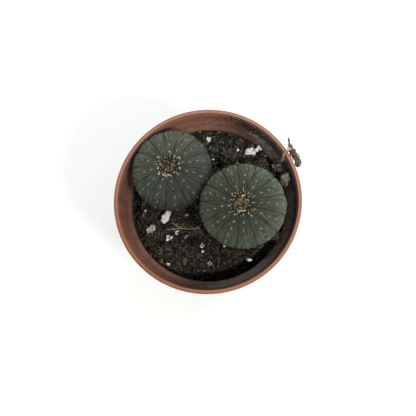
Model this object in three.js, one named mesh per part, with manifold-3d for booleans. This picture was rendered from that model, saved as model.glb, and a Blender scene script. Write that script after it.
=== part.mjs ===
// Two small ribbed cacti growing in gritty soil in a round plastic nursery pot.
// Millimetres, +Z up. The origin is the middle of the pot's flat base, on the surface that it stands on.
// +X is the right of the usual view from above, and +Y is its top.

import * as THREE from 'three';
import { mergeVertices } from 'three/addons/utils/BufferGeometryUtils.js';
import Module from 'manifold-3d';

const wasm = await Module();
wasm.setup();

// Pot
const POT_HEIGHT = 50;
const RIM_RADIUS = 27.5;
const LIP_WIDTH = 1.1;
const LIP_ROUND = 0.4;
const LIP_CORNER = 0.12;
const COLLAR_HEIGHT = 8.5;
const COLLAR_FOOT_RADIUS = 26.4;
const COLLAR_FOOT_ROUND = 0.2;
const COLLAR_INNER_FOOT = 25.7;
const BODY_TOP_RADIUS = 24.3;
const LEDGE_HEIGHT = 43.4;
const LEDGE_RADIUS = 23.2;
const LEDGE_FILLET = 1.4;
const LEDGE_FILLET_STEPS = 4;
const LEDGE_SLOPE = 0.3;
const LEDGE_EDGE = 0.35;
const BASE_RADIUS = 19;
const BASE_ROUND = 0.7;
const WALL = 1.0;
const FLOOR = 1.2;
const FLOOR_FILLET = 1;
const POT_SIDES = 64;

// Drain holes
const DRAIN_COUNT = 7;
const DRAIN_RADIUS = 2.2;
const DRAIN_CIRCLE = 13.2;
const DRAIN_SIDES = 14;

// Root ball
const SOIL_TOP = 43.2;
const SOIL_FIT = 0.3;
const SOIL_SIDES = 48;
const SOIL_RELIEF = 0.35;
const SOIL_RELIEF_RATE = 0.5;
const SOIL_RINGS = [19, 15.5, 12, 8, 4];
const SHOULDER_DEPTH = 0.9;
const SHOULDER_WIDTH = 0.8;
const FOOT_ROUND = 1.2;
const SHRINK_DEPTH = 11;
// The soil within the first radius keeps its place while its edge shrinks
const SHRINK_FROM_RADIUS = 8;
const SHRINK_FULL_RADIUS = 21;
// Gap between the dried root ball and the wall, every 30 degrees from +X towards +Y
const SHRINK_GAPS = [1.2, 0.9, 0.4, 0.1, 0.2, 0.8, 2.3, 0.9, 0.2, 2.6, 2.9, 1.6];

// Plants
const RIBS = 13;
const STEPS_PER_RIB = 4;
const GROOVE_DEPTH = 0.45;
const DOME_ELEVATIONS = [0, 20, 38, 54, 67, 78];
const DOME_FULLNESS = 0.92;
const CROWN_SHARE = 0.93;
const UNDERSIDE_SHARES = [0.7, 0.38];
const UNDERSIDE_CURVE = 1.4;
const UPPER_ROOT = { radiusShare: 0.72, depth: 3.5 };
const MIDDLE_ROOT = { radiusShare: 0.36, depthShare: 0.45 };
const ROOT_TIP = { radius: 0.8, height: 0.4 };
const SMOOTH_BELOW_GROOVES = 2.5;
const PLANTS = [
  {
    name: 'cactus_left',
    centre: [-10.5, 9.0, 49.3],
    radius: 11.9,
    stretchY: 1.03,
    dome: 5.5,
    under: 6.1,
    neck: 8.0,
    root: 20,
    lean: 4,
    leanTowards: 150,
    turn: -28,
  },
  {
    name: 'cactus_right',
    centre: [10.35, -2.8, 53.4],
    radius: 12.5,
    stretchY: 0.98,
    dome: 5.7,
    under: 10.2,
    neck: 8.6,
    root: 21,
    lean: 4.5,
    leanTowards: 229,
    turn: -26,
  },
];

// A loose lump or a root sits in a hollow of the soil with this much clearance
const SEAT_GAP = 0.35;
const ROOT_GAP = 0.6;
const RIM_GAP = 0.45;

// How uneven a lump is, and how fast the waves of its unevenness follow each other
const LUMP_UNEVENNESS = 0.16;
const LUMP_WAVES = 2;
const WAVE_RATES = { x: 1.7, y: 1.9, z: 2.1 };
const BEND_RATE = 1.3;

// Strands have eight sides and a few lengths between one point and the next
const STRAND_STEPS = 3;
const HALF_STRAND_SIDES = 4;

// Vertices closer than this are one
const WELD_DISTANCE = 1e-4;

// White expanded lumps: centre, full size, and turn about Z in degrees
const PERLITE = [
  { at: [12.1, 15.6, 44.2], size: [2.2, 2.1, 1.9], turn: 10 },
  { at: [0.0, 20.0, 43.3], size: [1.4, 1.9, 1.3], turn: -20 },
  { at: [8.9, 16.6, 43.5], size: [0.9, 0.9, 0.9], turn: 0 },
  { at: [-12.7, -4.1, 44.3], size: [3.1, 3.9, 2.8], turn: -14 },
  { at: [-17.2, -7.6, 43.9], size: [2.7, 3.0, 2.2], turn: 35 },
  { at: [-11.7, -10.2, 43.7], size: [2.2, 1.9, 1.5], turn: -25 },
  { at: [-9.4, -8.6, 43.5], size: [1.2, 1.3, 1.0], turn: 15 },
  { at: [-1.9, -12.6, 43.6], size: [1.6, 1.4, 1.3], turn: 30 },
  { at: [-1.7, -14.3, 43.4], size: [0.8, 0.8, 0.8], turn: 0 },
  { at: [-11.9, -18.0, 43.1], size: [1.3, 0.8, 0.8], turn: 28 },
  { at: [0.4, -18.0, 43.1], size: [1.4, 1.5, 1.2], turn: -30 },
  { at: [12.0, -16.9, 43.2], size: [1.7, 1.0, 0.9], turn: 8 },
  { at: [4.7, -12.8, 43.4], size: [0.8, 0.7, 0.7], turn: 0 },
  { at: [-19.0, -1.8, 43.2], size: [0.7, 0.7, 0.7], turn: 0 },
  { at: [1.4, 13.7, 43.5], size: [1.0, 0.6, 0.6], turn: 20 },
  { at: [-6.7, -9.9, 43.4], size: [1.1, 0.6, 0.6], turn: 60 },
];
// The largest one is a clump, with two more lobes beside its first
const CLUMP_LOBES = [
  { at: [13.7, 16.1, 44.3], size: [2.0, 1.7, 1.6], turn: 60 },
  { at: [15.2, 16.7, 44.6], size: [2.1, 1.7, 1.5], turn: 15 },
];

// Other loose pieces
const PEBBLE = { at: [22.8, 6.55, 45.45], size: [3.2, 4.2, 3.0], turn: 16 };
const CLOD = { at: [20.9, 11.0, 45.1], size: [3.1, 3.6, 2.6], turn: 28 };
const FIBRE_LUMP_BACK = { at: [16.0, 12.3, 44.0], size: [3.8, 2.8, 1.9], turn: -25 };
const FIBRE_LUMP_FRONT = { at: [19.6, -9.8, 43.9], size: [3.6, 2.2, 1.7], turn: 30 };
const SEED_HUSK = { at: [-6.5, -3.3, 43.6], size: [1.1, 0.8, 0.7], turn: 20 };
const BARK_CHIP = { at: [-7.0, -17.3, 43.5], size: [1.4, 2.3, 0.7], turn: 12 };

// The root that lies on the soil, and its side branch
const ROOT_RADIUS = 0.28;
const ROOT_ROUTE = [
  [-10.9, -5.6, 44.1],
  [-9.6, -6.6, 44.2],
  [-8.2, -7.3, 44.1],
  [-6.2, -7.7, 44.2],
  [-4.3, -7.6, 44.3],
  [-2.7, -7.5, 44.1],
];
const ROOT_BRANCH = [
  [-12.6, -7.6, 44.1],
  [-11.4, -7.75, 44.2],
  [-9.9, -7.65, 44.2],
  [-8.0, -7.35, 44.1],
];

// The dry tuft that hooks over the rim
const TUFT_LUMPS = [
  { at: [24.4, 15.1, 49.6], size: [1.6, 2.4, 2.4], turn: 32 },
  { at: [25.1, 13.9, 49.2], size: [2.2, 2.8, 3.0], turn: 29 },
  { at: [26.0, 12.6, 48.8], size: [2.4, 2.8, 3.2], turn: 26 },
  { at: [26.6, 11.0, 48.4], size: [2.1, 2.8, 3.0], turn: 23 },
];
const TUFT_SPIKE = { foot: [24.2, 15.3, 50.0], tip: [23.9, 18.2, 50.5], radius: 0.45, sides: 6 };
const TUFT_STRAND_RADIUS = 0.4;
const TUFT_STRAND = [
  [24.6, 14.6, 49.9],
  [24.1, 14.3, 50.8],
  [23.2, 13.8, 51.0],
  [22.5, 13.2, 50.4],
  [22.2, 12.5, 49.2],
  [22.1, 11.8, 47.6],
];

const BRIGHT_CLAY = new THREE.MeshStandardMaterial({ color: 0xa86e55, roughness: 0.5, metalness: 0 });
const PEAT = new THREE.MeshStandardMaterial({ color: 0x302c25, roughness: 1, metalness: 0 });
const SKIN = new THREE.MeshStandardMaterial({ color: 0x555c4e, roughness: 0.8, metalness: 0 });
const EXPANDED_GLASS = new THREE.MeshStandardMaterial({ color: 0xd8d4ce, roughness: 0.9, metalness: 0 });
const STONE = new THREE.MeshStandardMaterial({ color: 0x6f655a, roughness: 0.5, metalness: 0 });
const DRY_FIBRE = new THREE.MeshStandardMaterial({ color: 0x7d6d5c, roughness: 0.9, metalness: 0 });
const HUSK = new THREE.MeshStandardMaterial({ color: 0xa39a6a, roughness: 0.8, metalness: 0 });

// Helpers

// Shares the vertices of touching faces and drops faces that have shrunk to a line.
function weld(geometry) {
  geometry.deleteAttribute('normal');
  geometry.deleteAttribute('uv');
  const merged = mergeVertices(geometry, WELD_DISTANCE);
  const index = merged.index.array;
  const kept = [];
  for (let i = 0; i < index.length; i += 3) {
    const [a, b, c] = [index[i], index[i + 1], index[i + 2]];
    if (a !== b && b !== c && c !== a) kept.push(a, b, c);
  }
  merged.setIndex(kept);
  return merged;
}

function toSolid(geometry) {
  return new wasm.Manifold(new wasm.Mesh({
    numProp: 3,
    vertProperties: Float32Array.from(geometry.attributes.position.array),
    triVerts: Uint32Array.from(geometry.index.array),
  }));
}

function toGeometry(solid) {
  const mesh = solid.getMesh();
  const geometry = new THREE.BufferGeometry();
  geometry.setAttribute('position', new THREE.BufferAttribute(mesh.vertProperties, 3));
  geometry.setIndex(new THREE.BufferAttribute(mesh.triVerts, 1));
  return geometry;
}

// Moves every vertex with a function that changes a Vector3 in place.
function reshape(geometry, change) {
  const position = geometry.attributes.position;
  const point = new THREE.Vector3();
  for (let i = 0; i < position.count; i++) {
    point.fromBufferAttribute(position, i);
    change(point);
    position.setXYZ(i, point.x, point.y, point.z);
  }
  return geometry;
}

// A turned shape about Z from [radius, height] pairs that start and end on the axis.
function turned(profile, sides) {
  const points = profile.map(([radius, height]) => new THREE.Vector2(radius, height));
  const lathe = new THREE.LatheGeometry(points, sides);
  lathe.rotateX(Math.PI / 2);
  return weld(lathe);
}

// Smooth unevenness between -1 and 1: a wave along each axis, bent by the next axis and shifted by the seed.
function unevenness(x, y, z, seed) {
  const alongX = Math.sin(x * WAVE_RATES.x + 2 * seed + Math.sin(y * BEND_RATE + seed));
  const alongY = Math.sin(y * WAVE_RATES.y - seed + Math.sin(z * BEND_RATE - seed));
  const alongZ = Math.sin(z * WAVE_RATES.z + seed + Math.sin(x * BEND_RATE + 3 * seed));
  return (alongX + alongY + alongZ) / 3;
}

// A rounded, uneven lump. The clearance widens it for the hollow that it sits in.
// Its place makes its unevenness its own.
function lump({ at, size, turn }, clearance = 0) {
  const seed = at[0] + at[1];
  const shape = weld(new THREE.IcosahedronGeometry(1, 1));
  reshape(shape, (p) => {
    const swell = unevenness(LUMP_WAVES * p.x, LUMP_WAVES * p.y, LUMP_WAVES * p.z, seed);
    p.multiplyScalar(1 + LUMP_UNEVENNESS * swell);
    p.set(
      p.x * (size[0] / 2 + clearance),
      p.y * (size[1] / 2 + clearance),
      p.z * (size[2] / 2 + clearance),
    );
  });
  shape.rotateZ(THREE.MathUtils.degToRad(turn));
  shape.translate(...at);
  return toSolid(shape);
}

// A round strand with flat ends along hand-laid points.
function strand(route, radius) {
  const path = new THREE.CatmullRomCurve3(route.map((p) => new THREE.Vector3(...p)));
  const section = new THREE.Shape();
  section.absarc(0, 0, radius, 0, 2 * Math.PI);
  const tube = new THREE.ExtrudeGeometry(section, {
    steps: STRAND_STEPS * (route.length - 1),
    curveSegments: HALF_STRAND_SIDES,
    extrudePath: path,
  });
  return toSolid(weld(tube));
}

// Pot

// The pot's section from the middle of its base, up the outside, over the lip and down to its floor.
// The extra widens the wall on both sides, for the room that a piece on the rim keeps.
function potProfile(extra = 0) {
  const collarFoot = POT_HEIGHT - COLLAR_HEIGHT;
  const lipInner = RIM_RADIUS - LIP_WIDTH;
  const corner = Math.SQRT1_2 * extra - LIP_CORNER;
  const profile = [
    [0, -extra],
    [BASE_RADIUS - BASE_ROUND + extra, -extra],
    [BASE_RADIUS + extra, BASE_ROUND],
    [BODY_TOP_RADIUS + extra, collarFoot - extra],
    [COLLAR_FOOT_RADIUS - COLLAR_FOOT_ROUND + extra, collarFoot - extra],
    [COLLAR_FOOT_RADIUS + extra, collarFoot + COLLAR_FOOT_ROUND],
    [RIM_RADIUS + extra, POT_HEIGHT - LIP_ROUND],
    [RIM_RADIUS + corner, POT_HEIGHT + corner],
    [RIM_RADIUS - LIP_ROUND, POT_HEIGHT + extra],
    [lipInner + LIP_ROUND / 2, POT_HEIGHT + extra],
    [lipInner - extra, POT_HEIGHT - LIP_ROUND],
  ];
  for (let i = 0; i <= LEDGE_FILLET_STEPS; i++) {
    const angle = (i / LEDGE_FILLET_STEPS) * (Math.PI / 2);
    const radius = COLLAR_INNER_FOOT - LEDGE_FILLET * (1 - Math.cos(angle));
    const height = LEDGE_HEIGHT + LEDGE_SLOPE + LEDGE_FILLET * (1 - Math.sin(angle));
    profile.push([radius - extra, height + extra]);
  }
  profile.push(
    [LEDGE_RADIUS + LEDGE_SLOPE - extra, LEDGE_HEIGHT + extra],
    [LEDGE_RADIUS - extra, LEDGE_HEIGHT - LEDGE_EDGE],
    [soilWallRadius(FLOOR + FLOOR_FILLET) + SOIL_FIT, FLOOR + FLOOR_FILLET],
    [soilWallRadius(FLOOR) + SOIL_FIT - FLOOR_FILLET, FLOOR],
    [0, FLOOR],
  );
  return profile;
}

// Radius of the root ball where it still fills the tapered body.
function soilWallRadius(height) {
  const lower = BASE_RADIUS - WALL;
  const rise = (height - FLOOR) / (LEDGE_HEIGHT - FLOOR);
  return lower + (LEDGE_RADIUS - lower) * rise - SOIL_FIT;
}

function drainHole(index) {
  const cutter = weld(new THREE.CylinderGeometry(DRAIN_RADIUS, DRAIN_RADIUS, 4 * FLOOR, DRAIN_SIDES));
  cutter.rotateX(Math.PI / 2);
  cutter.translate(DRAIN_CIRCLE, 0, FLOOR / 2);
  cutter.rotateZ((index * 2 * Math.PI) / DRAIN_COUNT);
  return toSolid(cutter);
}

function pot() {
  let body = toSolid(turned(potProfile(), POT_SIDES));
  for (let i = 0; i < DRAIN_COUNT; i++) body = body.subtract(drainHole(i));
  return body;
}

// Plants

// The outline from the root's tip up over the widest part to the sunken crown, about the plant's own middle.
function plantProfile({ radius, dome, under, neck, root }, clearance = 0) {
  const profile = [
    [0, -under - root - clearance],
    [ROOT_TIP.radius + clearance, -under - root + ROOT_TIP.height],
    [MIDDLE_ROOT.radiusShare * neck + clearance, -under - MIDDLE_ROOT.depthShare * root],
    [UPPER_ROOT.radiusShare * neck + clearance, -under - UPPER_ROOT.depth],
    [neck + clearance, -under],
  ];
  for (const share of UNDERSIDE_SHARES) {
    const width = THREE.MathUtils.lerp(radius, neck, share ** UNDERSIDE_CURVE);
    profile.push([width + clearance, -share * under]);
  }
  for (const elevation of DOME_ELEVATIONS) {
    const angle = THREE.MathUtils.degToRad(elevation);
    const width = radius * Math.cos(angle) ** DOME_FULLNESS;
    profile.push([width + clearance, (dome + clearance) * Math.sin(angle)]);
  }
  profile.push([0, dome * CROWN_SHARE + clearance]);
  return profile;
}

// A plant with its ribs. With a clearance it is the smooth hollow that the plant sits in.
function plant(spec, clearance = 0) {
  const body = turned(plantProfile(spec, clearance), RIBS * STEPS_PER_RIB);
  const carve = (p) => {
    const groove = (1 - Math.cos(RIBS * Math.atan2(p.y, p.x))) / 2;
    const reach = Math.hypot(p.x, p.y) / spec.radius;
    const aboveSoil = THREE.MathUtils.smoothstep(p.z, -spec.under, SMOOTH_BELOW_GROOVES - spec.under);
    const depth = GROOVE_DEPTH * groove * reach * aboveSoil;
    const scale = 1 - depth / spec.radius;
    p.set(p.x * scale, p.y * scale, p.z > 0 ? p.z - depth / 2 : p.z);
  };
  if (clearance === 0) reshape(body, carve);
  body.rotateZ(THREE.MathUtils.degToRad(spec.turn));
  const lean = THREE.MathUtils.degToRad(spec.leanTowards);
  const leanAxis = new THREE.Vector3(-Math.sin(lean), Math.cos(lean), 0);
  body.applyMatrix4(new THREE.Matrix4().makeRotationAxis(leanAxis, THREE.MathUtils.degToRad(spec.lean)));
  body.scale(1, spec.stretchY, 1);
  body.translate(...spec.centre);
  return toSolid(body);
}

// Root ball

// Gap to the wall at an angle, blended between the compass points.
function shrinkGap(angle) {
  const step = (2 * Math.PI) / SHRINK_GAPS.length;
  const place = ((angle + 2 * Math.PI) % (2 * Math.PI)) / step;
  const before = Math.floor(place) % SHRINK_GAPS.length;
  const after = (before + 1) % SHRINK_GAPS.length;
  const blend = THREE.MathUtils.smoothstep(place - Math.floor(place), 0, 1);
  return THREE.MathUtils.lerp(SHRINK_GAPS[before], SHRINK_GAPS[after], blend);
}

// The root ball with a hollow for each piece that sits in it. Its upper part has shrunk away from the wall.
function rootBall(hollows) {
  const shoulder = SOIL_TOP - SHOULDER_DEPTH;
  const crest = SOIL_TOP - SHOULDER_DEPTH / 3;
  const gapFoot = SOIL_TOP - SHRINK_DEPTH;
  const gapMiddle = SOIL_TOP - SHRINK_DEPTH / 2;
  const profile = [
    [0, FLOOR],
    [soilWallRadius(FLOOR) - FOOT_ROUND, FLOOR],
    [soilWallRadius(FLOOR + FOOT_ROUND), FLOOR + FOOT_ROUND],
    [soilWallRadius(gapFoot), gapFoot],
    [soilWallRadius(gapMiddle), gapMiddle],
    [soilWallRadius(shoulder), shoulder],
    [soilWallRadius(shoulder) - SHOULDER_WIDTH, crest],
  ];
  for (const radius of SOIL_RINGS) profile.push([radius, SOIL_TOP]);
  profile.push([0, SOIL_TOP]);
  const body = turned(profile, SOIL_SIDES);
  reshape(body, (p) => {
    const radius = Math.hypot(p.x, p.y);
    const risen = THREE.MathUtils.smoothstep(p.z, gapFoot, shoulder);
    const outward = THREE.MathUtils.smoothstep(radius, SHRINK_FROM_RADIUS, SHRINK_FULL_RADIUS);
    const inset = shrinkGap(Math.atan2(p.y, p.x)) * risen * outward;
    const scale = radius > 0 ? 1 - inset / radius : 1;
    const onTop = THREE.MathUtils.smoothstep(p.z, shoulder, crest);
    const wave = unevenness(SOIL_RELIEF_RATE * p.x, SOIL_RELIEF_RATE * p.y, 0, 1);
    p.set(p.x * scale, p.y * scale, p.z + SOIL_RELIEF * wave * onTop);
  });
  let ball = toSolid(body);
  for (const hollow of hollows) ball = ball.subtract(hollow);
  return ball;
}

// Rim tuft

// The dry lumps outside the rim, with a spike, and a strand of root that crosses the lip and hangs inside.
function rimTuft() {
  let tuft = strand(TUFT_STRAND, TUFT_STRAND_RADIUS);
  for (const spec of TUFT_LUMPS) tuft = tuft.add(lump(spec));
  const foot = new THREE.Vector3(...TUFT_SPIKE.foot);
  const tip = new THREE.Vector3(...TUFT_SPIKE.tip);
  const spike = weld(new THREE.ConeGeometry(TUFT_SPIKE.radius, foot.distanceTo(tip), TUFT_SPIKE.sides));
  const along = tip.clone().sub(foot).normalize();
  spike.applyQuaternion(new THREE.Quaternion().setFromUnitVectors(new THREE.Vector3(0, 1, 0), along));
  const middle = foot.clone().lerp(tip, 0.5);
  spike.translate(middle.x, middle.y, middle.z);
  tuft = tuft.add(toSolid(spike));
  return tuft.subtract(toSolid(turned(potProfile(RIM_GAP), POT_SIDES)));
}

// Assembly

const model = new THREE.Group();

function place(name, solid, material) {
  const mesh = new THREE.Mesh(toGeometry(solid), material);
  mesh.name = name;
  model.add(mesh);
}

const hollows = PLANTS.map((spec) => plant(spec, ROOT_GAP));

function placeLump(name, spec, material) {
  place(name, lump(spec), material);
  hollows.push(lump(spec, SEAT_GAP));
}

place('pot', pot(), BRIGHT_CLAY);
for (const spec of PLANTS) place(spec.name, plant(spec), SKIN);

PERLITE.forEach((spec, i) => {
  const name = `perlite_${String(i + 1).padStart(2, '0')}`;
  let shape = lump(spec);
  let hollow = lump(spec, SEAT_GAP);
  if (i === 0) {
    for (const lobe of CLUMP_LOBES) {
      shape = shape.add(lump(lobe));
      hollow = hollow.add(lump(lobe, SEAT_GAP));
    }
  }
  place(name, shape, EXPANDED_GLASS);
  hollows.push(hollow);
});

placeLump('grit_pebble', PEBBLE, STONE);
placeLump('soil_clod', CLOD, PEAT);
placeLump('fibre_lump_back', FIBRE_LUMP_BACK, DRY_FIBRE);
placeLump('fibre_lump_front', FIBRE_LUMP_FRONT, DRY_FIBRE);
placeLump('seed_husk', SEED_HUSK, HUSK);
placeLump('bark_chip', BARK_CHIP, DRY_FIBRE);

place('root_fibre', strand(ROOT_ROUTE, ROOT_RADIUS).add(strand(ROOT_BRANCH, ROOT_RADIUS)), DRY_FIBRE);
hollows.push(strand(ROOT_ROUTE, ROOT_RADIUS + SEAT_GAP), strand(ROOT_BRANCH, ROOT_RADIUS + SEAT_GAP));

place('soil', rootBall(hollows), PEAT);
place('rim_crumb', rimTuft(), DRY_FIBRE);

export default model;
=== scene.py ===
"""Looks of two small ribbed cacti that grow in gritty peat in a round plastic nursery pot."""

import math
import random

import bmesh
import bpy
from mathutils import Euler, Matrix, Vector, noise
from mathutils.bvhtree import BVHTree


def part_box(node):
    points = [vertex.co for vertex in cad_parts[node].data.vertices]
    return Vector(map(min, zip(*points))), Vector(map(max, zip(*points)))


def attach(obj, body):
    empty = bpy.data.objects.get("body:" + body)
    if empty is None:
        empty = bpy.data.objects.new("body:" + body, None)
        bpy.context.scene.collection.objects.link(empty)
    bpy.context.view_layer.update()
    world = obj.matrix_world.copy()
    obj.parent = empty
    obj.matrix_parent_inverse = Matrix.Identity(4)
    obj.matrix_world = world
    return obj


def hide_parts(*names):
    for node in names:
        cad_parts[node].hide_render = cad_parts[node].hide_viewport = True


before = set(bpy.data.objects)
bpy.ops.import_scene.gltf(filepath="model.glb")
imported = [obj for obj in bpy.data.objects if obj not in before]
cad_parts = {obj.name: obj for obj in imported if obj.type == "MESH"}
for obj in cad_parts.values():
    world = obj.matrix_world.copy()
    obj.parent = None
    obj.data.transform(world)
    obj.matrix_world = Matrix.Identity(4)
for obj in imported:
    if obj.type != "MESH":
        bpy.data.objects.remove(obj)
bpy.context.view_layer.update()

bl_info = {
    "name": "Potted Frailea",
    "version": (1, 0, 0),
    "blender": (4, 5, 0),
    "location": "3D View > Sidebar > Cactus",
    "description": "Builds two small ribbed cacti in a nursery pot, piece by piece",
    "category": "Object",
}

# Shapes are worked out in millimetres and scaled to metres when a piece is finished
MM = 0.001
UP = Vector((0, 0, 1))

# Pot outline, as pairs of radius and height, from the base up to the lip
POT_OUTSIDE = (
    (18.0, 0.0), (18.7, 0.15), (19.0, 0.7), (20.3, 10.9), (21.6, 21.1), (22.95, 31.3),
    (24.22, 41.2), (24.4, 41.5), (26.15, 41.5), (26.4, 41.75), (26.63, 43.4), (27.34, 48.5),
    (27.5, 49.3),
)
LIP = (
    (27.5, 49.55), (27.44, 49.72), (27.3, 49.84), (27.08, 49.93), (26.98, 50.0), (26.75, 50.0),
    (26.58, 49.97), (26.46, 49.86), (26.4, 49.65),
)
POT_INSIDE = (
    (26.36, 49.0), (26.3, 48.8), (26.18, 48.72), (26.16, 48.6), (26.02, 47.6), (25.87, 46.5),
    (25.74, 45.5), (25.62, 44.9), (25.3, 44.35), (24.85, 43.95), (24.3, 43.7), (23.75, 43.55),
    (23.42, 43.38), (23.24, 43.1), (23.15, 42.4), (22.5, 37.0), (21.9, 32.0), (20.6, 21.5),
    (19.3, 11.5), (18.15, 2.3), (17.85, 1.5), (17.2, 1.2),
)

# Inside of the pot: where the lip starts, the ring of dried peat, and the ledge's corner, where shade
# is painted
LIP_FOOT = 49.3
LIP_RADIUS = 26.45
DIRT_RING = 48.7
LEDGE_CORNER = 24.9

# Root ball: its radius at the floor, at the bottom of the gap and at the top, and the gap to the
# wall every 30 degrees from +X towards +Y
SOIL_FOOT = 17.85
SOIL_WAIST = 21.3
SOIL_RADIUS = 22.75
SHRINK_GAPS = (1.2, 0.9, 0.4, 0.1, 0.2, 0.8, 2.3, 0.9, 0.2, 2.6, 2.9, 1.6)

# Each plant's place and build. Its tone is the skin's brightness in the middle, the gain out to the
# rim and the painted rim light on the rim itself. Its painted lit side is the side painted lighter, as
# light falls, and how much lighter it is, and cast the skin's own hue. Its ribs are pairs: the groove
# before the rib in degrees, and how far the rib's first areole stands from the crown.
PLANTS = {
    "left": {
        "centre": (-10.5, 9.0, 49.3),
        "radius": 11.9,
        "stretch": 1.03,
        "dome": 5.5,
        "under": 6.1,
        "neck": 8.0,
        "root": 20.0,
        "lean": 4.0,
        "lean_towards": 150.0,
        "tone": (0.47, 0.56, 0.0),
        "painted_lit_side": (126.0, 0.66),
        "cast": (1.0, 1.0, 1.0),
        "ribs": (
            (24.5, 3.8), (49.5, 3.1), (75.0, 4.0), (102.5, 3.1), (127.5, 3.9), (152.5, 4.6),
            (177.5, 3.4), (203.0, 3.8), (232.5, 4.3), (263.0, 4.7), (296.5, 3.9), (330.0, 3.3),
            (356.0, 4.2),
        ),
    },
    "right": {
        "centre": (10.35, -2.8, 53.4),
        "radius": 12.5,
        "stretch": 0.98,
        "dome": 5.7,
        "under": 10.2,
        "neck": 8.6,
        "root": 21.0,
        "lean": 4.5,
        "lean_towards": 229.0,
        "tone": (0.1, 0.94, 0.34),
        "painted_lit_side": (76.0, 0.2),
        "cast": (0.98, 1.0, 0.87),
        "ribs": (
            (14.5, 4.3), (41.5, 3.4), (69.5, 4.1), (97.0, 3.1), (120.5, 3.8), (149.0, 2.9),
            (173.5, 3.6), (203.0, 4.3), (230.5, 3.6), (260.5, 3.3), (291.0, 4.5), (320.5, 4.1),
            (345.5, 3.6),
        ),
    },
}

# Steps of the mesh across a rib
RIB_STEPS = 30
# Degrees from one areole to the next in a crown
GOLDEN_ANGLE = 137.508
# Pads of wool in each crown, about its middle: place, length and width
CROWN_PADS = {
    "left": (
        (-3.2, 2.5, 0.75, 0.6), (1.7, 2.6, 0.55, 0.5), (3.0, 2.2, 0.7, 0.55),
        (2.9, 0.4, 0.8, 0.5), (3.2, -0.9, 0.85, 0.5), (1.6, -2.2, 0.6, 0.5),
        (-2.9, -2.6, 0.75, 0.55), (-3.2, -0.9, 0.7, 0.6), (-2.5, 0.4, 0.6, 0.5),
        (0.1, 4.1, 0.7, 0.5), (-1.6, -2.8, 0.8, 0.75), (-0.9, -3.1, 0.9, 0.8),
        (-0.2, -2.8, 0.85, 0.75), (0.4, -3.0, 0.7, 0.6), (-1.1, -2.4, 0.6, 0.5),
    ),
    "right": (
        (-0.95, -2.2, 0.6, 0.42), (-0.5, -2.22, 0.6, 0.42), (0.0, -2.2, 0.6, 0.42),
        (0.5, -2.2, 0.6, 0.42), (0.92, -2.15, 0.5, 0.4), (0.35, 2.1, 1.0, 0.85),
        (0.8, 2.3, 0.7, 0.6),
    ),
}

# Holes between the clods of soil: place, radius and depth
SOIL_HOLES = (
    (-5.6, -11.0, 2.0, 2.2), (-10.4, -14.0, 1.5, 1.4), (3.9, -13.8, 2.1, 1.5),
    (-15.0, -11.8, 1.7, 1.4), (-1.0, -19.0, 1.6, 1.2), (8.2, -17.8, 1.7, 1.2),
    (-16.8, -5.0, 1.3, 1.0), (3.4, 11.4, 2.2, 1.5), (10.4, 13.4, 1.8, 1.2),
    (6.2, 17.6, 1.5, 1.0), (17.8, 14.2, 1.8, 1.2), (-4.0, 15.5, 1.5, 1.0),
)

# Swirls of pale fibre: place and reach
FIBRE_SWIRLS = (
    (-4.9, -16.0, 3.0), (-1.0, -16.8, 2.6), (-9.0, -15.4, 2.6), (7.6, -14.8, 2.4),
    (-17.0, -9.6, 2.2), (-8.4, -6.8, 2.6), (6.4, 15.4, 2.4),
)

# White specks that stand alone: place and size
LONE_SPECKS = ((2.85, 21.1, 0.25), (-3.0, -20.0, 0.2), (-3.6, -3.2, 0.35), (8.5, 12.6, 0.45))

# The root that lies on the soil, with its side branch
ROOT_ROUTE = (
    (-10.9, -5.6, 44.1), (-9.6, -6.6, 44.2), (-8.2, -7.3, 44.1), (-6.2, -7.7, 44.2),
    (-4.3, -7.6, 44.3), (-2.7, -7.5, 44.1),
)
ROOT_BRANCH = (
    (-12.6, -7.6, 44.1), (-11.4, -7.75, 44.2), (-9.9, -7.65, 44.2), (-8.0, -7.35, 44.1),
)

# The dry tuft on the rim: its lumps, its spike, and the strand that hooks over the lip
TUFT_LUMPS = (
    ((24.4, 15.1, 49.6), (1.6, 2.4, 2.4)), ((25.1, 13.9, 49.2), (2.2, 2.8, 3.0)),
    ((26.0, 12.6, 48.8), (2.4, 2.8, 3.2)), ((26.6, 11.0, 48.4), (2.1, 2.8, 3.0)),
)
TUFT_SPIKE = ((24.2, 15.3, 50.0), (24.05, 16.7, 50.3), (23.9, 18.2, 50.5))
TUFT_STRAND = (
    (24.6, 14.6, 50.1), (24.1, 14.3, 50.65), (23.2, 13.8, 50.8), (22.5, 13.2, 50.3),
    (22.2, 12.5, 49.2), (22.1, 11.8, 47.6),
)


def paint(red, green, blue):
    """A screen colour from 0 to 255 as the linear values that a material takes."""
    shares = (red / 255, green / 255, blue / 255)
    return tuple(s / 12.92 if s <= 0.04045 else ((s + 0.055) / 1.055) ** 2.4 for s in shares)


def smooth(value, low, high):
    """0 below low and 1 above high, with an even turn between."""
    share = min(1.0, max(0.0, (value - low) / (high - low)))
    return share * share * (3 - 2 * share)


def mix(a, b, share):
    return a + (b - a) * share


def polar(radius, degrees, height=0.0):
    angle = math.radians(degrees)
    return Vector((radius * math.cos(angle), radius * math.sin(angle), height))


def any_yaw(rng):
    """A random turn about the vertical, in radians."""
    return rng.uniform(0, 6.28)


def any_way(rng, lift):
    """A random direction that tends up by the lift."""
    return Vector((rng.gauss(0, 1), rng.gauss(0, 1), rng.gauss(lift, 1))).normalized()


def box_share(point, middle, half):
    """Where a point lies in a box, from -1 to 1 along each axis."""
    return Vector([(point[axis] - middle[axis]) / half[axis] for axis in range(3)])


def box_point(way, middle, half, reach):
    """The point of a box in a direction, at the reach from its middle."""
    return middle + Vector([way[axis] * half[axis] * reach for axis in range(3)])


# Shapes


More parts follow.
